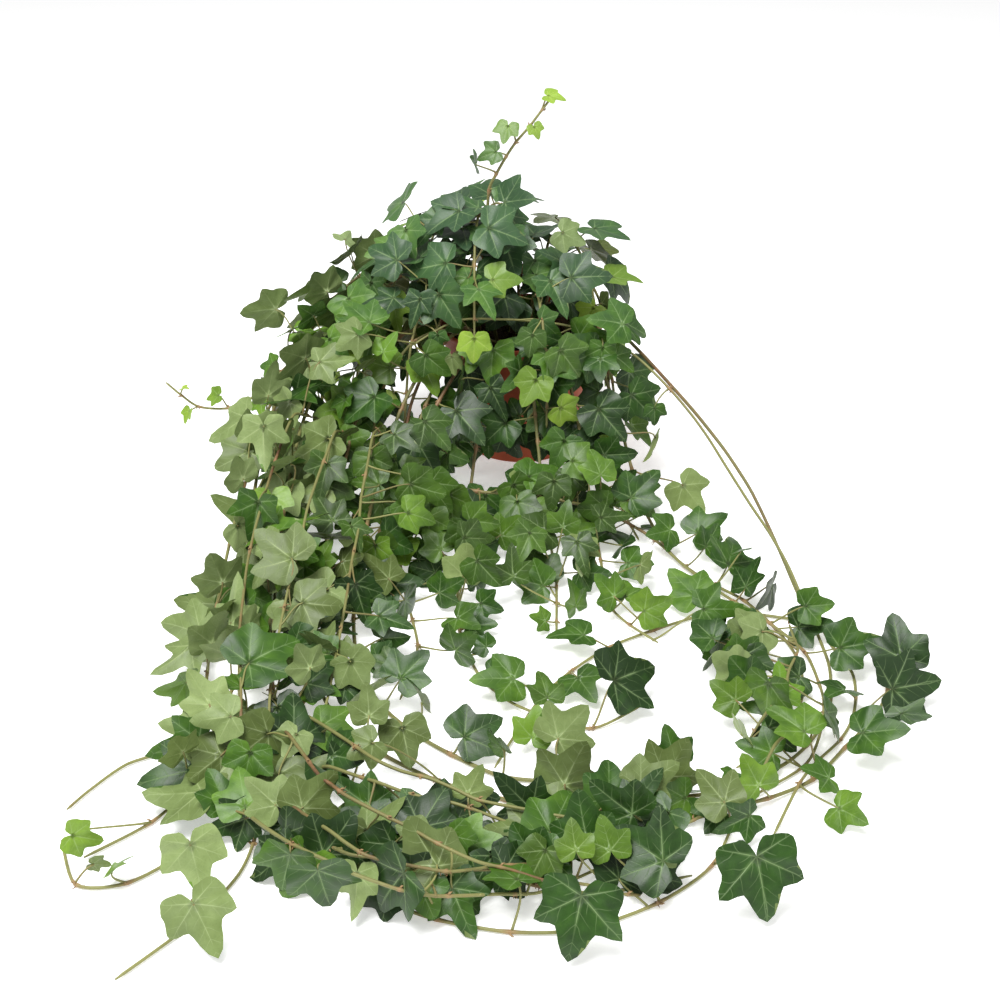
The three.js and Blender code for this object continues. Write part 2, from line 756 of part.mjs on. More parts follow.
// The bones of a leaf: its blade as a fan round the notch, and its stalk
function leafBones(leaf, vine) {
  const rim = leafRim(leaf);
  const bones = rim.slice(1).map((p, i) => makeBone([leaf.notch, rim[i], p], BLADE / 2, vine, "blade"));
  const stalk = [leaf.notch, ...(leaf.neck ? [leaf.neck] : []), leaf.root];
  stalk.slice(1).forEach((p, i) => bones.push(makeBone([stalk[i], p], STALK_REACH, vine, "stalk")));
  return bones;
}

// The mesh of one leafy stem: a tapered tube whose side opens into the three-sided stalk of each leaf,
// and each stalk into a folded blade with lobes
function vineGeometry(rings, leaves) {
  const corners = [];
  const triangles = [];
  const add = (...points) => {
    corners.push(...points);
    return corners.length - points.length;
  };
  rings.forEach((ring) => add(...ring));
  const feet = new Map(leaves.map((leaf) => [leaf.at * STEM_SIDES + leaf.foot.side, leaf]));
  for (let i = 0; i < rings.length - 1; i += 1) {
    for (let k = 0; k < STEM_SIDES; k += 1) {
      const next = (k + 1) % STEM_SIDES;
      const [a, b] = [i * STEM_SIDES + k, i * STEM_SIDES + next];
      const [c, d] = [b + STEM_SIDES, a + STEM_SIDES];
      const leaf = feet.get(i * STEM_SIDES + k);
      if (leaf) {
        const peak = add(leaf.foot.corners[2]);
        triangles.push([b, c, peak], [c, d, peak], [d, a, peak]);
        leaf.start = [a, b, peak];
      } else {
        triangles.push([a, b, c], [a, c, d]);
      }
    }
  }
  const last = (rings.length - 1) * STEM_SIDES;
  for (let k = 1; k < STEM_SIDES - 1; k += 1) {
    triangles.push([0, k + 1, k], [last, last + k, last + k + 1]);
  }
  for (const leaf of leaves) addLeaf(leaf, corners, triangles, add);
  const geometry = new THREE.BufferGeometry();
  const places = new Float32Array(corners.flatMap((p) => [p.x, p.y, p.z]));
  geometry.setAttribute("position", new THREE.BufferAttribute(places, 3));
  geometry.setIndex(triangles.flat());
  geometry.computeVertexNormals();
  return geometry;
}

function addLeaf(leaf, corners, triangles, add) {
  const rim = leafRim(leaf);
  const { notch, tip, face, neck } = leaf;
  const right = tip.clone().cross(face);
  const up = face.clone().multiplyScalar(BLADE / 2);
  const n = rim.length;
  const middle = (n - 1) / 2;
  const section = (centre, side, above) => [
    centre.clone().addScaledVector(side, -PETIOLE).addScaledVector(above, BLADE / 2),
    centre.clone().addScaledVector(side, PETIOLE).addScaledVector(above, BLADE / 2),
    centre.clone().addScaledVector(above, -BLADE / 2 - KEEL),
  ];
  const across = (run) => right.clone().addScaledVector(run, -right.dot(run)).normalize();
  const top = add(...rim.map((p) => p.clone().add(up)));
  const under = add(...rim.map((p) => p.clone().sub(up)));
  const mouth = add(...section(notch, right, face));
  const [left0, right0, keel] = [mouth, mouth + 1, mouth + 2];
  for (let i = 0; i < n - 1; i += 1) {
    triangles.push([i < middle ? right0 : left0, top + i, top + i + 1], [keel, under + i + 1, under + i]);
    triangles.push([top + i, under + i, under + i + 1], [top + i, under + i + 1, top + i + 1]);
  }
  triangles.push([right0, top + middle, left0], [right0, keel, under], [right0, under, top]);
  triangles.push([top + n - 1, under + n - 1, keel], [top + n - 1, keel, left0]);
  const signed = (faces) =>
    faces.reduce((sum, face) => {
      const [p, q, r] = face.map((c) => corners[c].clone().sub(leaf.root));
      return sum + p.dot(q.cross(r));
    }, 0);
  const sleeve = (from, to) =>
    [0, 1, 2].flatMap((i) => {
      const [a, b, c, d] = [from[i], to[i], to[(i + 1) % 3], from[(i + 1) % 3]];
      const folds = [[[a, b, c], [a, c, d]], [[a, b, d], [b, c, d]]];
      return signed(folds[0]) > signed(folds[1]) ? folds[0] : folds[1];
    });
  let from = [left0, right0, keel];
  if (neck) {
    const aim = mixed(neck.clone().sub(leaf.root).normalize(), tip, 0.5);
    const side = across(aim);
    const bend = add(...section(neck, side, side.clone().cross(aim)));
    const ring = [bend, bend + 1, bend + 2];
    triangles.push(...sleeve(from, ring));
    from = ring;
  }
  const turns = [0, 1, 2].map((turn) => leaf.start.map((_, k) => leaf.start[(k + turn) % 3]));
  const sleeves = turns.map((turn) => sleeve(from, turn));
  triangles.push(...sleeves.sort((one, other) => signed(other) - signed(one))[0]);
}

// Where a leaf of this stem turns to, at a share of the stem's length
function facing(vine, share, point) {
  if (!vine.face) {
    const out = point.clone().sub(vec(CROWN_HEART)).normalize();
    return out.addScaledVector(vec(VIEWER), CROWN_TO_VIEWER).normalize();
  }
  const start = vec(vine.face).normalize();
  return vine.endFace ? mixed(start, vec(vine.endFace), share) : start;
}

// How leaves of this stem are drawn to one side, such as into the mass of leaves beside it
function leaning(vine, share) {
  if (!vine.lean) return new THREE.Vector3();
  return vec(vine.lean).lerp(vec(vine.endLean ?? vine.lean), share);
}

// Leaves stand to the left and to the right of the stem by turns; the last tries change sides
function sideways(i, attempt) {
  return i % 2 === (attempt < TRIES / 2 ? 1 : 0) ? 1 : -1;
}

// One pose of a leaf; later tries lean and turn it further
function poseLeaf(vine, stem, i, share, width, side, draw, attempt) {
  const point = stem.points[i];
  const ahead = stem.points[i + 1].clone().sub(point).normalize();
  const loose = LOOSE + 0.1 * attempt;
  const wobble = () => new THREE.Vector3(draw() - 0.5, draw() - 0.5, draw() - 0.5);
  const light = facing(vine, share, point);
  const reach = ahead
    .clone()
    .cross(light)
    .normalize()
    .multiplyScalar(side)
    .addScaledVector(light, THREE.MathUtils.lerp(0.15, 1.1, draw()))
    .addScaledVector(ahead, THREE.MathUtils.lerp(-0.3, 0.7, draw()))
    .add(leaning(vine, share))
    .normalize();
  const foot = stalkFoot(stem.rings, i, reach);
  const stalk = width * THREE.MathUtils.lerp(0.35, 0.75 + 0.05 * attempt, draw());
  const notch = foot.root.clone().addScaledVector(reach, stalk);
  const face = light.clone().addScaledVector(wobble(), 1.6 * loose).normalize();
  const hang = point.z > LOW ? 0.9 : 0.2;
  const tip = reach.clone().add(new THREE.Vector3(0, 0, -hang)).addScaledVector(wobble(), 2 * loose);
  tip.addScaledVector(face, -tip.dot(face)).normalize();
  const cup = THREE.MathUtils.lerp(-0.05, 0.28, draw());
  const droop = THREE.MathUtils.lerp(0, 0.25, draw());
  return finishLeaf({ at: i, foot, root: foot.root, notch, tip, face, width, cup, droop });
}

// A leaf set by hand, on the stem point that lies best behind it; later tries tilt it further
function pickedLeaf([at, end, side], stems, draw, attempt) {
  const notch = vec(at);
  const reach = vec(end).sub(notch);
  const width = reach.length() / WIDTH_TO_LOBE;
  const tip = reach.clone().normalize();
  const behind = notch.clone().addScaledVector(reach, -0.6);
  const choices = [];
  stems.forEach(({ points, leaves }, stem) => {
    for (let i = 2; i < points.length - 1; i += 1) {
      const far = points[i].distanceTo(behind);
      const stalk = points[i].distanceTo(notch);
      if (stalk > PICK_REACH || stalk < PICK_LEAST || leaves.some((leaf) => leaf.at === i)) continue;
      choices.push({ stem, i, far });
    }
  });
  if (!choices.length) return null;
  choices.sort((one, other) => one.far - other.far);
  const best = choices[attempt % Math.min(PICK_CHOICES, choices.length)];
  const { rings, points } = stems[best.stem];
  const foot = stalkFoot(rings, best.i, notch.clone().sub(points[best.i]));
  const wobble = new THREE.Vector3(draw() - 0.5, draw() - 0.5, draw() - 0.5);
  const face = vec(VIEWER).multiplyScalar(side).addScaledVector(wobble, 0.12 * attempt);
  face.addScaledVector(tip, -face.dot(tip)).normalize();
  const leaf = { at: best.i, foot, root: foot.root, notch, tip, face, width, cup: 0.12, droop: 0.1 };
  return { stem: best.stem, leaf: finishLeaf(leaf) };
}

// Adds what follows from a leaf's place and width: its lobes, and a bend in its stalk where it needs one
function finishLeaf(leaf) {
  const run = leaf.notch.clone().sub(leaf.root).normalize();
  const sideways = Math.abs(leaf.tip.clone().cross(leaf.face).dot(run));
  const bent = run.dot(leaf.tip) < STRAIGHT || run.dot(leaf.face) < -OVER || sideways > BESIDE;
  const neck = bent ? leaf.notch.clone().addScaledVector(leaf.tip, -NECK) : null;
  const lobes = leaf.width > FIVE_LOBES_FROM ? FIVE_LOBES : THREE_LOBES;
  return { ...leaf, neck, lobes, lobe: leaf.width * WIDTH_TO_LOBE };
}

// Whether a leaf touches nothing but the stem that it grows from
function fits(leaf, vine, bones) {
  const run = (leaf.neck ?? leaf.notch).clone().sub(leaf.root).normalize();
  const right = leaf.tip.clone().cross(leaf.face);
  const out = leaf.foot.corners[1].clone().sub(leaf.foot.corners[0]);
  out.cross(leaf.foot.corners[2].clone().sub(leaf.foot.corners[0])).normalize();
  if (Math.abs(right.dot(run)) > ASKEW || out.dot(run) < SHALLOW) return false;
  const own = leafBones(leaf, vine);
  if (own.some((bone) => bone.box.min.z < FLOOR_CLEAR)) return false;
  const behind = leaf.neck ?? leaf.notch.clone().addScaledVector(run, -NECK);
  const stalk = makeBone([behind, leaf.root], 0, vine, "stalk");
  const start = Math.min(STALK_START, 0.6 * behind.distanceTo(leaf.root));
  const free = makeBone([behind, leaf.root.clone().addScaledVector(run, start)], PETIOLE, vine, "stalk");
  if (own.some((bone) => bone.kind === "blade" && tooNear(stalk, bone, OWN_CLEAR))) return false;
  return own.every((bone) =>
    bones.every((other) => {
      const mine = bone.kind === "stalk" && other.kind === "stem" && other.vine === vine;
      if (mine && (other.at === leaf.at || other.at === leaf.at - 1)) return !tooNear(free, other, 0);
      return !tooNear(bone, other, CLEAR);
    }),
  );
}

// The whole plant: stems laid one after another, then leaves where there is room for them
function grow(fixed) {
  const bones = [...fixed];
  const stems = VINES.map((vine, index) => {
    const points = stemPoints(vine, index);
    const radii = stemRadii(points.length);
    bendClear(points, radii, bones);
    points.slice(1).forEach((p, i) => {
      bones.push({ ...makeBone([points[i], p], radii[i], index, "stem"), at: i });
    });
    return { vine, points, rings: stemRings(points, radii), leaves: [] };
  });
  PICKED.forEach((picked, number) => {
    const draw = drawer(9000 + number);
    for (let attempt = 0; attempt < TRIES; attempt += 1) {
      const set = pickedLeaf(picked, stems, draw, attempt);
      if (set && fits(set.leaf, set.stem, bones)) {
        stems[set.stem].leaves.push(set.leaf);
        bones.push(...leafBones(set.leaf, set.stem));
        break;
      }
    }
  });
  stems.forEach((stem, index) => {
    const { vine, points, leaves } = stem;
    const total = lengthOf(points);
    const end = total * (vine.leafy ?? 1);
    for (let i = 2; i < points.length - 1; i += 1) {
      const at = lengthOf(points.slice(0, i + 1));
      const [from, to] = vine.open ?? [0, 0];
      if (at < (vine.bare ?? 0) + HOLE_DEPTH || at > end || (at > from && at < to)) continue;
      if (leaves.some((leaf) => leaf.at === i)) continue;
      const draw = drawer(index * 100 + i);
      const share = at / total;
      const youth = Math.max(0, 1 - (end - at) / YOUNG_END);
      const size = THREE.MathUtils.lerp(...vine.widths, share) * THREE.MathUtils.lerp(0.85, 1.1, draw());
      for (let attempt = 0; attempt < TRIES; attempt += 1) {
        const width = size * (1 - YOUNG_LESS * youth) * (1 - 0.02 * attempt);
        const leaf = poseLeaf(vine, stem, i, share, width, sideways(i, attempt), draw, attempt);
        if (fits(leaf, index, bones)) {
          leaves.push(leaf);
          bones.push(...leafBones(leaf, index));
          break;
        }
      }
    }
  });
  return stems;
}

// The pot and the soil as bones, so that nothing grows into them
function wallBones(body) {
  const made = body.getMesh();
  const corner = (i) => vec(made.vertProperties.subarray(i * made.numProp, i * made.numProp + 3));
  const bones = [];
  for (let i = 0; i < made.triVerts.length; i += 3) {
    bones.push(makeBone([0, 1, 2].map((k) => corner(made.triVerts[i + k])), 0, -1, "wall"));
  }
  return bones;
}

const plant = new THREE.Group();
plant.name = "potted_ivy";

function addNode(name, geometry, color, roughness) {
  const material = new THREE.MeshStandardMaterial({ color, roughness, metalness: 0 });
  const mesh = new THREE.Mesh(geometry, material);
  mesh.name = name;
  plant.add(mesh);
}

const pot = potSolid();
const soil = soilSolid();
addNode("pot", geometryOf(pot), 0xa8482f, 0.45);
addNode("soil", geometryOf(soil), 0x3a2a1e, 0.95);

for (const { vine, rings, leaves } of grow([...wallBones(pot), ...wallBones(soil)])) {
  addNode("vine_" + vine.name, vineGeometry(rings, leaves), 0x2f5a2a, 0.45);
}

export default plant;
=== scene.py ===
import logging
import math
import random
from dataclasses import dataclass, field
from enum import Enum
from itertools import combinations, pairwise, product

import bpy
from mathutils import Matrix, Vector, noise
from mathutils.kdtree import KDTree


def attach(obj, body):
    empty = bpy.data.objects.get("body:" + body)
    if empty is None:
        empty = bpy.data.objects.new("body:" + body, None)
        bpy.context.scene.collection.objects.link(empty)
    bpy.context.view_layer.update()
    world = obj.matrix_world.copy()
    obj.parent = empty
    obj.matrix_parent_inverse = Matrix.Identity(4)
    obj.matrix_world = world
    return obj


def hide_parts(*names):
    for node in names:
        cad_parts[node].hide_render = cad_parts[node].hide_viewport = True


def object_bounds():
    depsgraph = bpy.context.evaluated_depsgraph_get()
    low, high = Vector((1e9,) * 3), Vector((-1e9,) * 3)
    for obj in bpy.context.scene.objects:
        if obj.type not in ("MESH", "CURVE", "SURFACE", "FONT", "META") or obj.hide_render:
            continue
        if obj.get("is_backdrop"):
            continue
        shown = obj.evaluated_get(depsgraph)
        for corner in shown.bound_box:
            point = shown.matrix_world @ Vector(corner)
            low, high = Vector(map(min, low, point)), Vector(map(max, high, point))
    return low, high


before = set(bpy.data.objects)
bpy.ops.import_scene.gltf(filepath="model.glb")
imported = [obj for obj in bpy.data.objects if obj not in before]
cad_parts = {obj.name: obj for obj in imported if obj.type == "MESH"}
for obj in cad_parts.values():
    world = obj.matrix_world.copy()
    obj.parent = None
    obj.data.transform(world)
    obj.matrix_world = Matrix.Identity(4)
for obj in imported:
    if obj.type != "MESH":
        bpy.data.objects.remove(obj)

MM = 0.001
SEED = 4117
LOG = logging.getLogger("potted_ivy")
Triple = tuple[float, float, float]
Numbers = tuple[int, int, int]
Socket = bpy.types.NodeSocket

# The solid model's own sizes, in metres
SOIL_TOP = 93 * MM
ROOT_HEIGHT = 79.3 * MM
BLADE = 0.7 * MM
RING_SIDES = (1.6 * MM, 2.9 * MM)

# Where added leaves may be, in millimetres: above the floor, off the pot and inside the plant's box
FLOOR_CLEAR = 2.5
POT_CLEAR = (67, 108)  # radius and height
PLANT_BOX = ((-272, 250), (-600, 113), (0, 284))
LEAF_CLEAR = 4.2 * MM
ROOT_CLEAR = 3.5 * MM
STALK_REACH = (9 * MM, 20 * MM, 52 * MM)  # least, usual and greatest
TRIES = 14

# Fine leaves and stems
LOBES = (0, 55, 112)  # degrees from the middle vein
LEAF_SPOKES = 23  # outline points of half a leaf
LEAF_RINGS = (0.22, 0.45, 0.66, 0.84)
FLOOR_REST = 0.4 * MM
BLADE_HALF = 0.17 * MM
CURL_STARTS = (0.62, 0.5, 0.4)  # where each lobe begins to curl
STEM_RADII = (1.45, 0.85)  # first and last, in millimetres
RUNNER_RADII = (1.1, 0.8)
STALK_RADII = (0.85, 0.52)
JOINT_EVERY = 14  # places of a side stem
STALK_SIDES = 6
STALK_STEPS = 7
STEM_SIDES = 8
STEM_STEPS = 6


def linear(code: str) -> tuple[float, ...]:
    """Turns an sRGB colour code into linear red, green, blue and alpha.

    Args:
        code: Six hexadecimal digits.

    Returns:
        The linear colour with full alpha.
    """
    parts = [int(code[i : i + 2], 16) / 255 for i in (0, 2, 4)]
    return tuple(c / 12.92 if c <= 0.04045 else ((c + 0.055) / 1.055) ** 2.4 for c in parts) + (1.0,)


def blended(a: float, b: float, t: float) -> float:
    """The value at share t of the way from a to b."""
    return a + (b - a) * t


def at_angle(degrees: float, far: float = 1.0) -> tuple[float, float]:
    """The place at an angle from the middle vein, far from the notch."""
    return far * math.sin(math.radians(degrees)), far * math.cos(math.radians(degrees))


def clamped(share: float) -> float:
    """A value held between 0 and 1."""
    return min(1, max(0, share))


def circle(sides: int, start: float = 0) -> list[tuple[float, float]]:
    """The cosine and sine of even turns, from a start counted in turns."""
    turns = [2 * math.pi * (k + start) / sides for k in range(sides)]
    return [(math.cos(turn), math.sin(turn)) for turn in turns]


def square_to(v: Vector, axis: Vector) -> Vector:
    """The direction of v without its part along axis."""
    return (v - axis * v.dot(axis)).normalized()


def jitter(rng: random.Random, size: float) -> Vector:
    """A small random vector with each part within half of size."""
    return Vector([(rng.random() - 0.5) * size for _ in range(3)])


def raised(path: list[Vector], low: float) -> list[Vector]:
    """The points of a path, none of them lower than low."""
    return [Vector((p.x, p.y, max(p.z, low))) for p in path]


def smooth(points: list[Vector], steps: int) -> tuple[list[Vector], list[float]]:
    """A smooth line through points.

    Args:
        points: The points.
        steps: Places from one point to the next.

    Returns:
        The places, and how far along each is, counted in points.
    """
    ends = [points[0] * 2 - points[1], *points, points[-1] * 2 - points[-2]]
    line, places = [], []
    for i in range(len(points) - 1):
        a, b, c, d = ends[i : i + 4]
        for k in range(steps):
            t = k / steps
            u, v = (c - a) * 0.4, (d - b) * 0.4
            cube, quad = t**3, t * t
            line.append(b * (2 * cube - 3 * quad + 1) + u * (cube - 2 * quad + t)
                        + c * (3 * quad - 2 * cube) + v * (cube - quad))
            places.append(i + t)
    line.append(points[-1].copy())
    places.append(float(len(points) - 1))
    return line, places


class MeshParts:
    """Vertices, faces and face materials of one piece while it is being built."""

    def __init__(self) -> None:
        """Starts with an empty mesh."""
        self.points: list[Vector] = []
        self.faces: list[tuple[int, ...]] = []
        self.finishes: list[int] = []
        self.leaf: list[Triple] = []
        self.look: list[Triple] = []
        self.sharp: set[tuple[int, int]] = set()

    def add(self, point: Vector, leaf: tuple = (0.0, 0.0, 0.0), look: tuple = (0.5, 0.0, 0.5)) -> int:
        """Adds a vertex.

        Args:
            point: Its place in metres.
            leaf: Its place on its leaf, in middle lobes from the notch.
            look: Tone, youth and shade for the finishes.

        Returns:
            The number of the vertex.
        """
        self.points.append(point)
        self.leaf.append(leaf)
        self.look.append(look)
        return len(self.points) - 1

    def face(self, corners: tuple[int, ...], finish: int) -> None:
        """Adds a face with the number of its finish."""
        self.faces.append(corners)
        self.finishes.append(finish)

    def skin(self, rings: list[list[int]], finish: int = 0, turned: bool = False) -> None:
        """Joins rings of vertices, of which the first and the last may be a single one.

        Args:
            rings: The numbers of the vertices, ring by ring.
            finish: The number of the finish.
            turned: Whether the faces look the other way.
        """
        for one, two in pairwise(rings):
            sides = max(len(one), len(two))
            for k in range(sides):
                j = (k + 1) % sides
                a, b = one[k % len(one)], one[j % len(one)]
                c, d = two[j % len(two)], two[k % len(two)]
                self.face(tuple(dict.fromkeys((a, d, c, b) if turned else (a, b, c, d))), finish)

    def tube(self, path: list[Vector], radii: list[float], sides: int, finish: int, look: tuple) -> None:
        """Adds a closed round tube along a path.

        Args:
            path: The points of its middle line.
            radii: The radius at each point.
            sides: Corners of its section.
            finish: The number of its finish.
            look: Tone, youth and shade, or one such tuple for each point.
        """
        side = Vector((1, 0, 0)) if abs((path[1] - path[0]).normalized().x) < 0.9 else Vector((0, 1, 0))
        looks = look if isinstance(look, list) else [look] * len(path)
        rings: list[list[int]] = []
        for i, point in enumerate(path):
            ahead = (path[min(i + 1, len(path) - 1)] - path[max(i - 1, 0)]).normalized()
            side = square_to(side, ahead)
            other = ahead.cross(side)
            spots = [point + (side * c + other * s) * radii[i] for c, s in circle(sides)]
            rings.append([self.add(spot, (0, 0, 0), looks[i]) for spot in spots])
        self.skin(rings, finish)
        self.face(tuple(reversed(rings[0])), finish)
        self.face(tuple(rings[-1]), finish)

    def build(self, name: str, materials: list[bpy.types.Material], slot: str) -> bpy.types.Object:
        """Makes the object and rides it on the body.

        Args:
            name: The name of the piece.
            materials: Its materials, in the order of the finish numbers.
            slot: The record's material slot; not used.

        Returns:
            The new object.
        """
        mesh = bpy.data.meshes.new(name)
        mesh.from_pydata([tuple(p) for p in self.points], [], self.faces)
        mesh.update()
        for label, values in (("leaf", self.leaf), ("look", self.look)):
            layer = mesh.attributes.new(label, "FLOAT_VECTOR", "POINT")
            layer.data.foreach_set("vector", [c for row in values for c in row])
        for material in materials:
            mesh.materials.append(material)
        mesh.polygons.foreach_set("material_index", self.finishes)
        mesh.polygons.foreach_set("use_smooth", [True] * len(self.faces))
        if self.sharp:
            layer = mesh.attributes.new("sharp_edge", "BOOLEAN", "EDGE")
            pairs = [tuple(sorted(e.vertices)) in self.sharp for e in mesh.edges]
            layer.data.foreach_set("value", pairs)
        made = bpy.data.objects.new(name, mesh)
        bpy.context.scene.collection.objects.link(made)
        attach(made, "root")
        LOG.info("%s: %d vertices, %d faces", name, len(self.points), len(self.faces))
        return made


# Finishes


class Graph:
    """A node material under construction."""

    def __init__(self, name: str) -> None:
        """Starts with the material's surface shader.

        Args:
            name: The material's name.
        """
        self.material = bpy.data.materials.new(name)
        self.material.use_nodes = True
        self.tree = self.material.node_tree
        self.shader = self.tree.nodes["Principled BSDF"]

    def put(self, socket: Socket, value: object) -> None:
        """Links a socket to a node's output, or sets its value.

        Args:
            socket: An input socket.
            value: A socket or a plain value.
        """
        if isinstance(value, Socket):
            self.tree.links.new(value, socket)
        else:
            socket.default_value = value

    def set(self, **inputs: object) -> None:
        """Sets inputs of the surface shader by their names, with _ for a space."""
        for label, value in inputs.items():
            self.put(self.shader.inputs[label.replace("_", " ")], value)

    def node(self, kind: str, **inputs: object) -> bpy.types.Node:
        """Adds a shader node.

        Args:
            kind: Its kind.
            inputs: Values or sockets by the inputs' names, with _ for a space.

        Returns:
            The node.
        """
        made = self.tree.nodes.new("ShaderNode" + kind)
        for label, value in inputs.items():
            self.put(made.inputs[label.replace("_", " ")], value)
        return made

    def math(self, how: str, *values: object) -> Socket:
        """A maths node over one to three values or sockets.

        Args:
            how: The operation.
            values: Its values or sockets.

        Returns:
            The node's output.
        """
        node = self.node("Math")
        node.operation = how
        for socket, value in zip(node.inputs, values):
            self.put(socket, value)
        return node.outputs[0]

    def times(self, a: object, b: object) -> Socket:
        """The product of two values."""
        return self.math("MULTIPLY", a, b)

    def scaled(self, a: object, b: object, c: object) -> Socket:
        """The product of the first two values, plus the third."""
        return self.math("MULTIPLY_ADD", a, b, c)

    def less(self, a: object, b: object) -> Socket:
        """The first value less the second."""
        return self.math("SUBTRACT", a, b)

    def most(self, a: object, b: object) -> Socket:
        """The greater of two values."""
        return self.math("MAXIMUM", a, b)

    def soft(self, value: object, start: float, end: float) -> Socket:
        """A smooth step of a value from 0 at start to 1 at end.

        Args:
            value: The value or socket.
            start: Where the step is 0.
            end: Where it is 1.

        Returns:
            The step's output.
        """
        low, high, up = min(start, end), max(start, end), start < end
        node = self.node("MapRange", Value=value, From_Min=low, From_Max=high, To_Min=float(not up), To_Max=float(up))
        node.interpolation_type = "SMOOTHSTEP"
        return node.outputs["Result"]

    def mix(self, share: object, a: object, b: object) -> Socket:
        """A colour at a share of the way from a to b.

        Args:
            share: The share of b.
            a: The first colour.
            b: The second colour.

        Returns:
            The mixed colour.
        """
        node = self.node("Mix")
        node.data_type = "RGBA"
        for number, value in ((0, share), (6, a), (7, b)):
            self.put(node.inputs[number], value)
        return node.outputs[2]

    def ramp(self, value: object, stops: list[tuple[float, str]]) -> Socket:
        """A colour ramp.

        Args:
            value: The value that picks the colour.
            stops: Places and colour codes.

        Returns:
            The ramp's colour.
        """
        node = self.node("ValToRGB", Fac=value)
        elements = node.color_ramp.elements
        for i, (place, code) in enumerate(stops):
            element = elements[i] if i < 2 else elements.new(place)
            element.position = place
            element.color = linear(code)
        return node.outputs["Color"]

    def noise(self, scale: float, detail: float = 2.0, rough: float = 0.5) -> Socket:
        """Noise over the object's own coordinates, with scale in waves per metre."""
        return self.node("TexNoise", Vector=self.place(), Scale=scale, Detail=detail, Roughness=rough).outputs["Fac"]

    def place(self) -> Socket:
        """The object's own coordinates."""
        return self.node("TexCoord").outputs["Object"]

    def parts(self, vector: Socket) -> list[Socket]:
        """The three parts of a vector."""
        return list(self.node("SeparateXYZ", Vector=vector).outputs)

    def attribute(self, label: str) -> list[Socket]:
        """The three parts of a mesh attribute.

        Args:
            label: The attribute's name.

        Returns:
            Its three parts.
        """
        node = self.node("Attribute")
        node.attribute_name = label
        return self.parts(node.outputs["Vector"])

    def bump(self, height: Socket, strength: float, distance: float) -> None:
        """Lets a height bend the surface's normal."""
        node = self.node("Bump", Height=height, Strength=strength, Distance=distance)
        self.set(Normal=node.outputs["Normal"])


class LeafSide(Enum):
    """The two sides of a leaf blade."""

    UPPER = "upper"
    UNDER = "under"


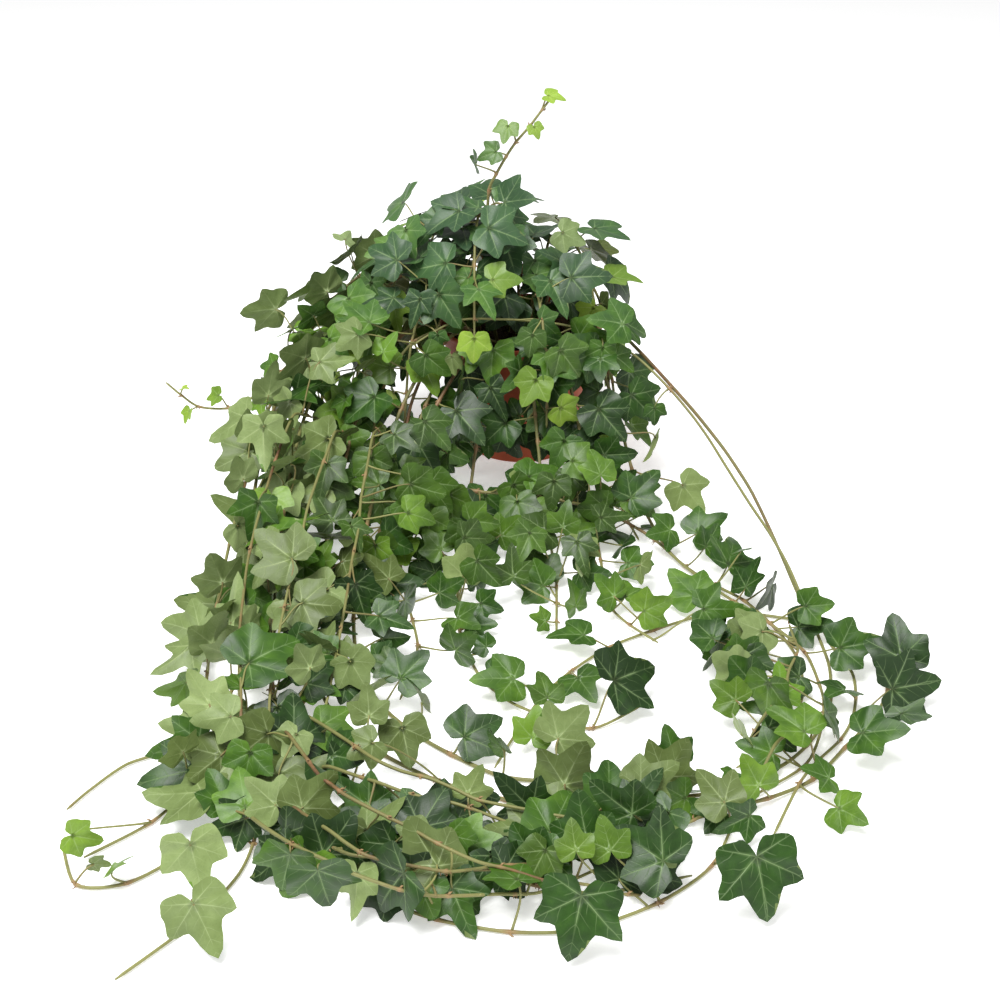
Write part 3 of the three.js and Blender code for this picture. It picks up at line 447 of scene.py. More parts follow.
@dataclass(frozen=True)
class LeafFinish:
    """The finish of one side of the leaves: palmate veins with branches over a mottled green, with a painted bluish
    sheen on the highest leaves.

    Attributes:
        side: The side of the blade.
        old: Colours of grown leaves, from the darkest tone to the lightest.
        young: Colour of the youngest leaves.
        vein: Colour of the veins.
        vein_share: How much of the vein colour shows on main veins and on branches.
        roughness: Roughness of the surface.
        relief: How deep the veins are, downwards if negative.
        painted_sheen: How much the highest leaves lean to a painted bluish sheen, which stands in for the sky's
            reflection on them.
        fading: How much main veins fade towards their ends.
        painted_sheen_colour: Colour of the painted sheen that the highest leaves lean to.
        freckle: Colour of the fine dark spots.
        young_vein: Colour of the veins of the youngest leaves.
        dry: Colour of dry parts.
    """

    side: LeafSide
    old: tuple[str, ...]
    young: tuple[str, ...]
    vein: str
    vein_share: tuple[float, float]
    roughness: float
    relief: float
    painted_sheen: float
    fading: float
    painted_sheen_colour: str = "4c6a50"
    freckle: str = "33491f"
    young_vein: str = "c3d07c"
    dry: str = "a98b52"

    def veins(self, graph: Graph) -> tuple[Socket, ...]:
        """Builds the vein pattern from the place on the leaf.

        Args:
            graph: The material's graph.

        Returns:
            The strength of the main veins, of their branches and of the lighter bands beside them.
        """
        x, y, _ = graph.attribute("leaf")
        across = graph.math("ABSOLUTE", x)
        wander = graph.noise(110, 1)
        sway = graph.less(graph.noise(75, 1), 0.5)
        turn = graph.math("ARCTAN2", across, y)
        main, branch, glow = 0.0, 0.0, 0.0
        for degrees, reach, low, high in ((0, 1.0, -10, 27), (54, 0.8, 27, 82), (112, 0.5, 82, 200)):
            s, c = at_angle(degrees)
            along = graph.scaled(across, s, graph.times(y, c))
            off = graph.scaled(across, c, graph.times(y, -s))
            off = graph.scaled(sway, graph.times(along, 0.09), off)
            aside = graph.math("ABSOLUTE", off)
            width = graph.scaled(along, -0.0085 / reach, 0.0115)
            share = graph.math("DIVIDE", aside, graph.most(width, 0.003))
            fade = graph.scaled(along, -self.fading / reach, 1.0)
            line = graph.times(graph.soft(share, 1.2, 0.35), graph.soft(along, -0.03, 0.0))
            line = graph.times(line, graph.most(fade, 0.0))
            main = graph.most(main, line)
            glow = graph.most(glow, graph.times(graph.soft(share, 5.0, 1.0), fade))
            sided = graph.math("GREATER_THAN", off, 0.0)
            start = graph.scaled(aside, -0.95, along)
            start = graph.scaled(graph.less(wander, 0.5), 0.16, start)
            phase = graph.scaled(start, 4.6, graph.times(sided, 0.45))
            wave = graph.math("ABSOLUTE", graph.less(graph.math("FRACT", phase), 0.5))
            thin = graph.times(graph.soft(wave, 0.06, 0.0), graph.soft(aside, 0.26, 0.04))
            above = graph.soft(turn, math.radians(low - 2), math.radians(low + 2))
            below = graph.soft(turn, math.radians(high + 2), math.radians(high - 2))
            thin = graph.times(graph.times(thin, graph.times(above, below)), graph.soft(start, 0.02, 0.08))
            branch = graph.most(branch, thin)
        return main, branch, glow

    def build(self) -> bpy.types.Material:
        """Makes the material.

        Returns:
            The material.
        """
        graph = Graph("leaf_" + self.side.value)
        main, branch, glow = self.veins(graph)
        tone, youth, shade = graph.attribute("look")
        mottle = graph.noise(170, 3)
        fine = graph.noise(900, 2)
        cloud = graph.noise(55, 2)
        drift = graph.scaled(graph.less(mottle, 0.5), 0.5, tone)
        drift = graph.scaled(graph.less(cloud, 0.5), 0.9, drift)
        stops, fresh = ([(i / (len(row) - 1), code) for i, code in enumerate(row)] for row in (self.old, self.young))
        _, _, height = graph.parts(graph.place())
        # Painted sheen: the highest leaves lean to a pale bluish green, which stands in for the sky's reflection on
        # their glossy tops.
        painted_sheen = graph.times(graph.soft(height, 0.1, 0.2), self.painted_sheen)
        grown = graph.mix(painted_sheen, graph.ramp(drift, stops), linear(self.painted_sheen_colour))
        base = graph.mix(youth, grown, graph.ramp(drift, fresh))
        base = graph.mix(graph.times(graph.soft(fine, 0.45, 0.75), 0.12), base, linear(self.freckle))
        pale = graph.mix(youth, linear(self.vein), linear(self.young_vein))
        base = graph.mix(graph.times(graph.soft(glow, 0.0, 1.0), 0.12), base, pale)
        faint = graph.scaled(mottle, 0.5, 0.7)
        show = graph.times(main, self.vein_share[0])
        branches = graph.times(graph.times(branch, faint), self.vein_share[1])
        base = graph.mix(graph.most(show, branches), base, pale)
        graph.set(Base_Color=graph.mix(graph.times(shade, 0.5), base, linear(self.dry)))
        rough = graph.scaled(fine, 0.1, self.roughness - 0.13)
        rough = graph.scaled(mottle, 0.16, rough)
        coat = 0.08 if self.side is LeafSide.UPPER else 0.04
        graph.set(Roughness=rough, Specular_IOR_Level=0.28, Coat_Weight=coat, Coat_Roughness=0.3)
        cells = graph.times(fine, 0.35)
        ridges = graph.scaled(branch, 0.45 * self.relief, cells)
        x, y, _ = graph.attribute("leaf")
        far = graph.math("SQRT", graph.scaled(x, x, graph.times(y, y)))
        apart = graph.times(main, graph.soft(far, 0.06, 0.3))
        graph.bump(graph.scaled(apart, self.relief, ridges), 0.35, 0.5 * MM)
        return graph.material


@dataclass(frozen=True)
class BarkFinish:
    """The finish of stems and leaf stalks.

    Attributes:
        fresh: Colours of green parts, by tone.
        woody: Colours of brown parts, by tone.
        roughness: Roughness of the surface.
        ridge: Depth of the fine ridges in metres.
        joint: Colour of the swollen joints.
    """

    fresh: tuple[str, str]
    woody: tuple[str, str]
    roughness: float
    ridge: float
    joint: str = "9c7a58"

    def build(self) -> bpy.types.Material:
        """Makes the material.

        Returns:
            The material.
        """
        graph = Graph("ivy_stem")
        tone, joint, shade = graph.attribute("look")
        mottle = graph.noise(260, 4)
        fine = graph.noise(1800, 3, 0.6)
        green = graph.ramp(graph.scaled(mottle, 0.6, graph.less(tone, 0.3)),
                           [(0, self.fresh[0]), (1, self.fresh[1])])
        brown = graph.ramp(mottle, [(0.3, self.woody[0]), (0.7, self.woody[1])])
        change = graph.math("ADD", shade, graph.times(graph.less(mottle, 0.5), 0.5))
        stem = graph.mix(graph.soft(change, 0.35, 0.75), green, brown)
        graph.set(Base_Color=graph.mix(joint, stem, linear(self.joint)))
        graph.set(Roughness=graph.scaled(fine, 0.2, self.roughness - 0.1), Specular_IOR_Level=0.35)
        graph.bump(fine, 0.4, self.ridge)
        return graph.material


@dataclass(frozen=True)
class PotFinish:
    """The finish of the pot: brick-red satin plastic with faint moulding grain and dust."""

    clay: tuple[str, str] = ("9a4a31", "a9543a")
    dust: str = "b98a72"
    roughness: float = 0.55

    def build(self) -> bpy.types.Material:
        """Makes the material.

        Returns:
            The material.
        """
        graph = Graph("pot_plastic")
        broad = graph.noise(35, 3)
        grain = graph.noise(2600, 3, 0.6)
        base = graph.ramp(broad, [(0.3, self.clay[0]), (0.7, self.clay[1])])
        speck = graph.times(graph.soft(graph.noise(420, 5, 0.7), 0.6, 0.78), 0.3)
        graph.set(Base_Color=graph.mix(speck, base, linear(self.dust)))
        graph.set(Roughness=graph.scaled(grain, 0.16, self.roughness - 0.06), Specular_IOR_Level=0.12)
        graph.bump(grain, 0.18, 0.15 * MM)
        return graph.material


@dataclass(frozen=True)
class SoilFinish:
    """The finish of the potting soil: dark crumbs with pale specks."""

    dark: str = "1d150f"
    brown: str = "4a3525"
    speck: str = "8d7658"

    def build(self) -> bpy.types.Material:
        """Makes the material.

        Returns:
            The material.
        """
        graph = Graph("potting_soil")
        crumbs = graph.noise(700, 6, 0.65)
        base = graph.ramp(crumbs, [(0.35, self.dark), (0.65, self.brown)])
        bits = graph.times(graph.soft(graph.noise(1500, 2), 0.66, 0.72), 0.6)
        graph.set(Base_Color=graph.mix(bits, base, linear(self.speck)))
        graph.set(Roughness=0.95, Specular_IOR_Level=0.15)
        graph.bump(crumbs, 0.9, 0.9 * MM)
        return graph.material


# Leaves


@dataclass(frozen=True)
class LeafForm:
    """The outline of a leaf.

    Attributes:
        corners: Degrees from the middle vein, length as a share of the middle lobe, and whether the
            outline is pointed there.
        solid: The corners of the solid model's right half, in degrees and length.
        swell: How much the sides of its lobes bulge.
    """

    corners: tuple[tuple[float, float, bool], ...]
    solid: tuple[tuple[float, float], ...] = ()
    swell: float = 1.5

    def reach(self, degrees: float) -> float:
        """The length of the outline in a direction, as a share of the middle lobe.

        Args:
            degrees: The direction, from the middle vein.

        Returns:
            The length.
        """
        for (a, r, sharp), (b, s, pointed) in pairwise(self.corners):
            if degrees > b:
                continue
            t = (degrees - a) / (b - a)
            if sharp and not pointed:
                share = math.sin(math.pi * t / 2) ** self.swell
            elif pointed and not sharp:
                share = 1 - math.cos(math.pi * t / 2) ** self.swell
            else:
                share = (1 - math.cos(math.pi * t)) / 2
            return blended(r, s, share)
        return self.corners[-1][1]

    def half(self) -> list[tuple[float, float]]:
        """The outline of the right half, from the middle lobe's tip to beside the stalk.

        Returns:
            Its points, in middle lobes.
        """
        angles: list[float] = []
        spans = list(pairwise(self.corners))
        total = spans[-1][1][0]
        for (a, _, _), (b, _, _) in spans:
            steps = max(2, round(LEAF_SPOKES * (b - a) / total))
            angles += [blended(a, b, i / steps) for i in range(steps)]
        angles.append(total)
        return [at_angle(d, self.reach(d)) for d in angles]


class LeafForms(Enum):
    """The leaf forms that the plant bears."""

    THREE = LeafForm(
        ((0, 1.0, True), (33, 0.56, False), (56, 0.77, True), (84, 0.57, False), (112, 0.54, False),
         (150, 0.3, False), (172, 0.05, False)),
        ((0, 1.0), (31, 0.49), (56, 0.76), (112, 0.5)),
    )
    FIVE = LeafForm(
        ((0, 1.0, True), (31, 0.56, False), (54, 0.79, True), (76, 0.55, False), (108, 0.58, True),
         (145, 0.33, False), (172, 0.05, False)),
        ((0, 1.0), (29, 0.5), (54, 0.78), (74, 0.5), (110, 0.56)),
    )
    BROAD = LeafForm(
        ((0, 0.96, True), (34, 0.63, False), (55, 0.76, True), (82, 0.6, False), (115, 0.56, False),
         (150, 0.34, False), (172, 0.05, False)),
        swell=1.8,
    )
    ARROW = LeafForm(
        ((0, 1.08, True), (31, 0.46, False), (58, 0.7, True), (86, 0.45, False), (118, 0.5, True),
         (150, 0.3, False), (172, 0.05, False)),
        swell=1.3,
    )


@dataclass
class LeafPose:
    """Where one leaf sits and how it is turned.

    Attributes:
        at: The number of its stem point.
        root: Where its stalk leaves the stem.
        notch: Where its stalk meets the blade.
        tip: Direction of its middle lobe.
        face: Direction that its upper side faces.
        lobe: Length of its middle lobe.
        form: Its outline.
        cup: How much its sides rise.
        droop: How much its tip falls.
    """

    at: int
    root: Vector
    notch: Vector
    tip: Vector
    face: Vector
    lobe: float
    form: LeafForm
    cup: float
    droop: float


@dataclass
class VineReader:
    """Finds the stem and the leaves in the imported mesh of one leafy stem."""

    node: bpy.types.Object
    points: list[Vector] = field(default_factory=list)
    links: list[set[int]] = field(default_factory=list)

    def __post_init__(self) -> None:
        """Joins vertices that share a place and lists the edges between them."""
        places: dict[Numbers, int] = {}
        number: list[int] = []
        for vertex in self.node.data.vertices:
            key = tuple(round(c / (0.02 * MM)) for c in vertex.co)
            near = (tuple(k + d for k, d in zip(key, step)) for step in product((0, -1, 1), repeat=3))
            found = next((places[k] for k in near if k in places), None)
            if found is None:
                found = len(self.points)
                self.points.append(vertex.co.copy())
                self.links.append(set())
            places[key] = found
            number.append(found)
        for edge in self.node.data.edges:
            a, b = (number[v] for v in edge.vertices)
            if a != b:
                self.links[a].add(b)
                self.links[b].add(a)

    def even(self, three: Numbers) -> bool:
        """Whether three vertices form the even ring of a stem.

        Args:
            three: Their numbers.

        Returns:
            True if they do.
        """
        if not all(b in self.links[a] for a, b in combinations(three, 2)):
            return False
        sides = [(self.points[a] - self.points[b]).length for a, b in combinations(three, 2)]
        return max(sides) < 1.01 * min(sides) and RING_SIDES[0] < min(sides) < RING_SIDES[1]

    def rings(self) -> list[Numbers]:
        """The rings of the stem, from its root to its end.

        Returns:
            Three vertex numbers for each ring.
        """
        low = [i for i, p in enumerate(self.points) if abs(p.z - ROOT_HEIGHT) < 0.01 * MM]
        ring = next(three for three in combinations(low, 3) if self.even(three))
        rings, seen = [ring], set(ring)
        while True:
            around = sorted(set().union(*(self.links[v] for v in ring)) - seen)
            ahead = next((three for three in combinations(around, 3) if self.even(three)), None)
            if ahead is None:
                return rings
            ring = ahead
            rings.append(ring)
            seen |= set(ring)

    def middle(self, numbers: tuple[int, ...]) -> Vector:
        """The middle of some vertices."""
        return sum((self.points[i] for i in numbers), Vector()) / len(numbers)

    def pose(self, part: set[int], at: int, foot: list[int]) -> LeafPose | None:
        """Works out a leaf's pose from its vertices.

        Args:
            part: The vertices of the leaf.
            at: The number of its stem point.
            foot: The vertices that its stalk grows from.

        Returns:
            The pose, or None if the vertices aren't those of a leaf.
        """
        pairs = [
            (a, b) for a in part for b in self.links[a] & part
            if a < b and abs((self.points[a] - self.points[b]).length - BLADE) < 0.004 * MM
        ]
        if len(pairs) not in (7, 9):
            return None
        face = (self.points[pairs[0][0]] - self.points[pairs[0][1]]).normalized()
        rim = {v for pair in pairs for v in pair}
        mouth = [v for v in part - rim if self.links[v] & rim]
        heights = sorted(self.points[v].dot(face) for v in mouth)
        if heights[1] - heights[0] < heights[2] - heights[1]:
            face = -face
        twin = {}
        for a, b in pairs:
            top, under = (a, b) if (self.points[a] - self.points[b]).dot(face) > 0 else (b, a)
            twin[top] = under
        order = [next(v for v in twin if len(self.links[v] & set(twin)) == 1)]
        while len(order) < len(twin):
            order.append(next(v for v in self.links[order[-1]] if v in twin and v not in order))
        middles = [(self.points[v] + self.points[twin[v]]) / 2 for v in order]
        n = len(middles)
        rough = middles[n // 2] - (middles[0] + middles[-1]) / 2
        if (middles[0] - middles[-1]).dot(rough.cross(face)) < 0:
            middles.reverse()
        form = LeafForms.THREE.value if n == 7 else LeafForms.FIVE.value
        corners = [at_angle(d, r) for d, r in form.solid]
        across = middles[0] - middles[-1]
        lobe = across.length / (2 * corners[-1][0])
        right = across.normalized()
        tip = face.cross(right).normalized()
        rows = [(x, 1 - y * abs(y)) for x, y in corners[1:]]
        heights = [(p - middles[n // 2]).dot(face) / lobe for p in middles[n // 2 + 1 :]]
        xx = sum(x * x for x, _ in rows)
        xy = sum(x * y for x, y in rows)
        yy = sum(y * y for _, y in rows)
        xh = sum(x * h for (x, _), h in zip(rows, heights))
        yh = sum(y * h for (_, y), h in zip(rows, heights))
        spread = xx * yy - xy * xy
        cup = (xh * yy - yh * xy) / spread
        droop = (xx * yh - xy * xh) / spread
        notch = middles[n // 2] - tip * lobe + face * (lobe * droop)
        return LeafPose(at, self.middle(tuple(foot)), notch, tip, face, lobe, form, cup, droop)

    def read(self) -> tuple[list[Vector], list[LeafPose]]:
        """Reads the stem's middle line and its leaves.

        Returns:
            The line's points and the leaves' poses.
        """
        rings = self.rings()
        ring_of = {v: i for i, ring in enumerate(rings) for v in ring}
        rest = set(range(len(self.points))) - set(ring_of)
        peaks = {v for v in rest if len({ring_of[w] for w in self.links[v] if w in ring_of}) > 1}
        rest -= peaks
        leaves = []
        while rest:
            part, queue = set(), [next(iter(rest))]
            while queue:
                v = queue.pop()
                if v not in part:
                    part.add(v)
                    queue += self.links[v] & rest
            rest -= part
            around = set().union(*(self.links[v] for v in part)) - part
            foot = [v for v in around if v in ring_of or v in peaks]
            at = min(ring_of[v] for v in foot if v in ring_of)
            pose = self.pose(part, at, foot)
            if pose is None:
                raise ValueError(f"{self.node.name}: {len(part)} vertices that are no leaf")
            leaves.append(pose)
        leaves.sort(key=lambda leaf: leaf.at)
        return [self.middle(ring) for ring in rings], leaves


@dataclass
class LeafBuilder:
    """Builds fine leaves into the mesh of a leafy stem."""

    mesh: MeshParts
    rng: random.Random
    upper: int = 0
    under: int = 1
    stalk: int = 2

    def blade(self, pose: LeafPose, look: Triple) -> None:
        """Adds a thin blade with an upper and an under side.

        Args:
            pose: The leaf's pose.
            look: Tone, youth and shade.
        """
        rng, mesh = self.rng, self.mesh
        right = pose.tip.cross(pose.face)
        phase = [rng.uniform(0, 2 * math.pi) for _ in range(4)]
        sway = rng.uniform(0.015, 0.045)
        twist = rng.uniform(-0.22, 0.22)
        curl = [rng.uniform(-0.08, 0.3) for _ in range(3)]
        bend = rng.uniform(-0.06, 0.06)
        reach = [rng.uniform(-0.1, 0.04), rng.uniform(-0.1, 0.07), rng.uniform(-0.1, 0.07)]

        def spot(x: float, y: float) -> Vector:
            """The place in space of a place on the leaf, no lower than the floor.

            Args:
                x: Across the leaf, in middle lobes.
                y: Along it.

            Returns:
                The place.
            """
            far = math.hypot(x, y)
            turn = math.degrees(math.atan2(x, y))
            height = pose.cup * abs(x) - pose.droop * y * abs(y)
            near = min((abs(abs(turn) - d), i) for i, d in enumerate(LOBES))
            height += 0.02 * min(near[0], 25) / 25 * min(1, far / 0.35)
            wave = sway * far * min(1, far / 0.6)
            height += wave * math.sin(math.radians(turn) * 5 + phase[0])
            height += 0.6 * wave * math.sin(math.radians(turn) * 9 + phase[1])
            height += twist * x * y
            height -= curl[near[1]] * max(0, far - CURL_STARTS[near[1]]) ** 1.4
            aside = x + bend * y * y
            place = pose.notch + (right * aside + pose.tip * y + pose.face * height) * pose.lobe
            place.z = max(place.z, FLOOR_REST)
            return place

        half = pose.form.half()
        outline = half + [(-x, y) for x, y in reversed(half[1:])]
        grown = []
        for x, y in outline:
            turn = math.degrees(math.atan2(x, y))
            near = [math.exp(-(((turn - d) / 18) ** 2)) for d in (0, 55, -55)]
            grown.append(1 + sum(n * r for n, r in zip(near, reach)) + rng.uniform(-0.01, 0.01))

        def lift(place: Vector) -> Vector:
            """Half the blade's thickness, upwards where the blade rests on the floor.

            Args:
                place: A place on the blade.

            Returns:
                The way from there to the upper side.
            """
            if place.z > FLOOR_REST:
                return pose.face * BLADE_HALF
            return Vector((0, 0, math.copysign(BLADE_HALF, pose.face.z)))

        middle = spot(0, 0)
        centres = [mesh.add(middle + lift(middle) * s, (0, 0, 0), look) for s in (1, -1)]
        tops: list[list[int]] = []
        unders: list[list[int]] = []
        for share in LEAF_RINGS:
            places = [(x * share, y * share, spot(x * share * g, y * share * g)) for (x, y), g in zip(outline, grown)]
            tops.append([mesh.add(place + lift(place), (x, y, 0), look) for x, y, place in places])
            unders.append([mesh.add(place - lift(place), (x, y, 0), look) for x, y, place in places])
        edge = [mesh.add(spot(x * g, y * g), (x, y, 0), look) for (x, y), g in zip(outline, grown)]
        n = len(outline)
        spans = [(j, (j + 1) % n) for j in range(n)]
        for i, j in spans:
            closing = i == n // 2
            if not closing:
                mesh.face((centres[0], tops[0][j], tops[0][i]), self.upper)
                mesh.face((centres[1], unders[0][i], unders[0][j]), self.under)
                for one, two in pairwise([*tops, edge]):
                    mesh.face((one[i], one[j], two[j], two[i]), self.upper)
                for one, two in pairwise([*unders, edge]):
                    mesh.face((one[j], one[i], two[i], two[j]), self.under)
                mesh.sharp.add(tuple(sorted((edge[i], edge[j]))))
        first, last = n // 2, n // 2 + 1
        for k in (first, last):
            up, down = [ring[k] for ring in tops], [ring[k] for ring in reversed(unders)]
            tall = [centres[0], *up, edge[k], *down, centres[1]]
            mesh.face(tuple(tall if k == first else reversed(tall)), self.under)

    def leaf(self, pose: LeafPose, ahead: Vector, look: Triple) -> None:
        """Adds a blade and its stalk, with ahead as the stem's direction there."""
        self.blade(pose, look)
        self.stalk_to(pose, ahead, (self.rng.uniform(0.5, 1), 0, self.rng.choice((0.1, 0.25, 0.5))))

    def stalk_to(self, pose: LeafPose, ahead: Vector, look: Triple) -> None:
        """Adds the leaf's stalk, from the stem to the notch.

        Args:
            pose: The leaf's pose.
            ahead: Direction of the stem where the stalk leaves it.
            look: Tone, youth and shade of the stalk.
        """
        gap = (pose.notch - pose.root).length
        straight = (pose.notch - pose.root).normalized()
        leave = (straight + ahead * 0.25 + jitter(self.rng, 0.3)).normalized()
        arrive = (pose.tip + straight * 0.6 - pose.face * 0.15).normalized()
        end = pose.notch - pose.face * 0.35 * MM + pose.tip * 0.6 * MM
        start = pose.root - straight * 0.9 * MM
        a, b = start + leave * gap * 0.33, end - arrive * min(0.33 * gap, 9 * MM)
        path = []
        for i in range(STALK_STEPS + 1):
            t = i / STALK_STEPS
            s = 1 - t
            path.append(start * s**3 + a * (3 * s * s * t) + b * (3 * s * t * t) + end * t**3)
        path = raised(path, 0.9 * MM)
        radii = [blended(*STALK_RADII, (i / STALK_STEPS) ** 0.4) * MM for i in range(STALK_STEPS + 1)]
        self.mesh.tube(path, radii, STALK_SIDES, self.stalk, look)


@dataclass(frozen=True)
class Runner:
    """A side stem that runs over the leaves on the floor, in millimetres.

    Attributes:
        vine: The leafy stem that it belongs to.
        route: The points that it runs through.
    """

    vine: str
    route: tuple[Triple, ...]

    def line(self) -> list[Vector]:
        """Its middle line in metres, with a slight bend at every joint.

        Returns:
            The line's points.
        """
        points = [Vector(p) * MM for p in self.route]
        bent = points[:1]
        for a, b in pairwise(points):
            middle = (a + b) / 2
            bent += [middle + noise.noise_vector(middle * 90) * (2.2 * MM), b]
        return smooth(bent, STEM_STEPS)[0]


RUNNERS = (
    Runner("vine_left_upper", (
        (-161, -379, 10), (-121, -431, 26), (-85, -477, 35), (-54, -494, 35), (-28, -508, 32), (20, -516, 27),
        (79, -500, 9), (103, -484, 4),
    )),
    Runner("vine_left_inner", (
        (-146, -405, 4), (-134, -455, 35), (-112, -500, 42), (-97, -516, 42), (-73, -532, 40), (-52, -546, 38),
        (-27, -556, 32), (5, -560, 24), (33, -556, 16), (54, -550, 5),
    )),
    Runner("vine_left_back", (
        (-176, -462, 4), (-141, -521, 27), (-112, -549, 32), (-91, -563, 32), (-66, -570, 27), (-47, -569, 22),
        (-17, -561, 16), (3, -551, 8), (35, -528, 4),
    )),
    Runner("vine_left_long", (
        (-145, -480, 4), (-131, -504, 28), (-103, -536, 35), (-82, -555, 35), (-44, -557, 27), (-17, -547, 22),
        (14, -533, 16), (41, -517, 6),
    )),
    Runner("vine_left_arc", (
        (-128, -446, 4), (-111, -467, 22), (-82, -491, 30), (-59, -505, 32), (-33, -512, 30), (14, -518, 10),
        (36, -514, 4),
    )),
    Runner("vine_left_arc", (
        (-104, -118, 68), (-108, -160, 78), (-112, -220, 60), (-114, -280, 44), (-116, -340, 31),
        (-120, -400, 16), (-128, -440, 4),
    )),
    Runner("vine_left_loop", (
        (-126, -130, 64), (-134, -165, 84), (-142, -215, 72), (-148, -270, 54), (-152, -330, 40),
        (-153, -390, 27), (-148, -440, 16), (-130, -470, 4),
    )),
    Runner("vine_left_back", (
        (-154, -100, 65), (-165, -150, 90), (-176, -220, 68), (-180, -290, 50), (-176, -360, 36),
        (-166, -420, 30), (-158, -470, 8),
    )),
    Runner("vine_left_far", ((-140, -500, 5), (-121, -517, 20), (-93, -541, 24), (-68, -544, 20), (-22, -525, 5))),
    Runner("vine_left_loop", ((123, -432, 8), (137, -416, 20), (152, -394, 22), (168, -348, 20), (172, -300, 8))),
    Runner("vine_left_outer", ((118, -478, 6), (138, -445, 20), (156, -426, 20), (163, -408, 8))),
)


@dataclass
class ExtraLeaf:
    """A leaf that fills a thick place.

    Attributes:
        pose: Its pose.
        ahead: Direction of the stem at its root.
        look: Its tone, youth and shade.
    """

    pose: LeafPose
    ahead: Vector
    look: Triple


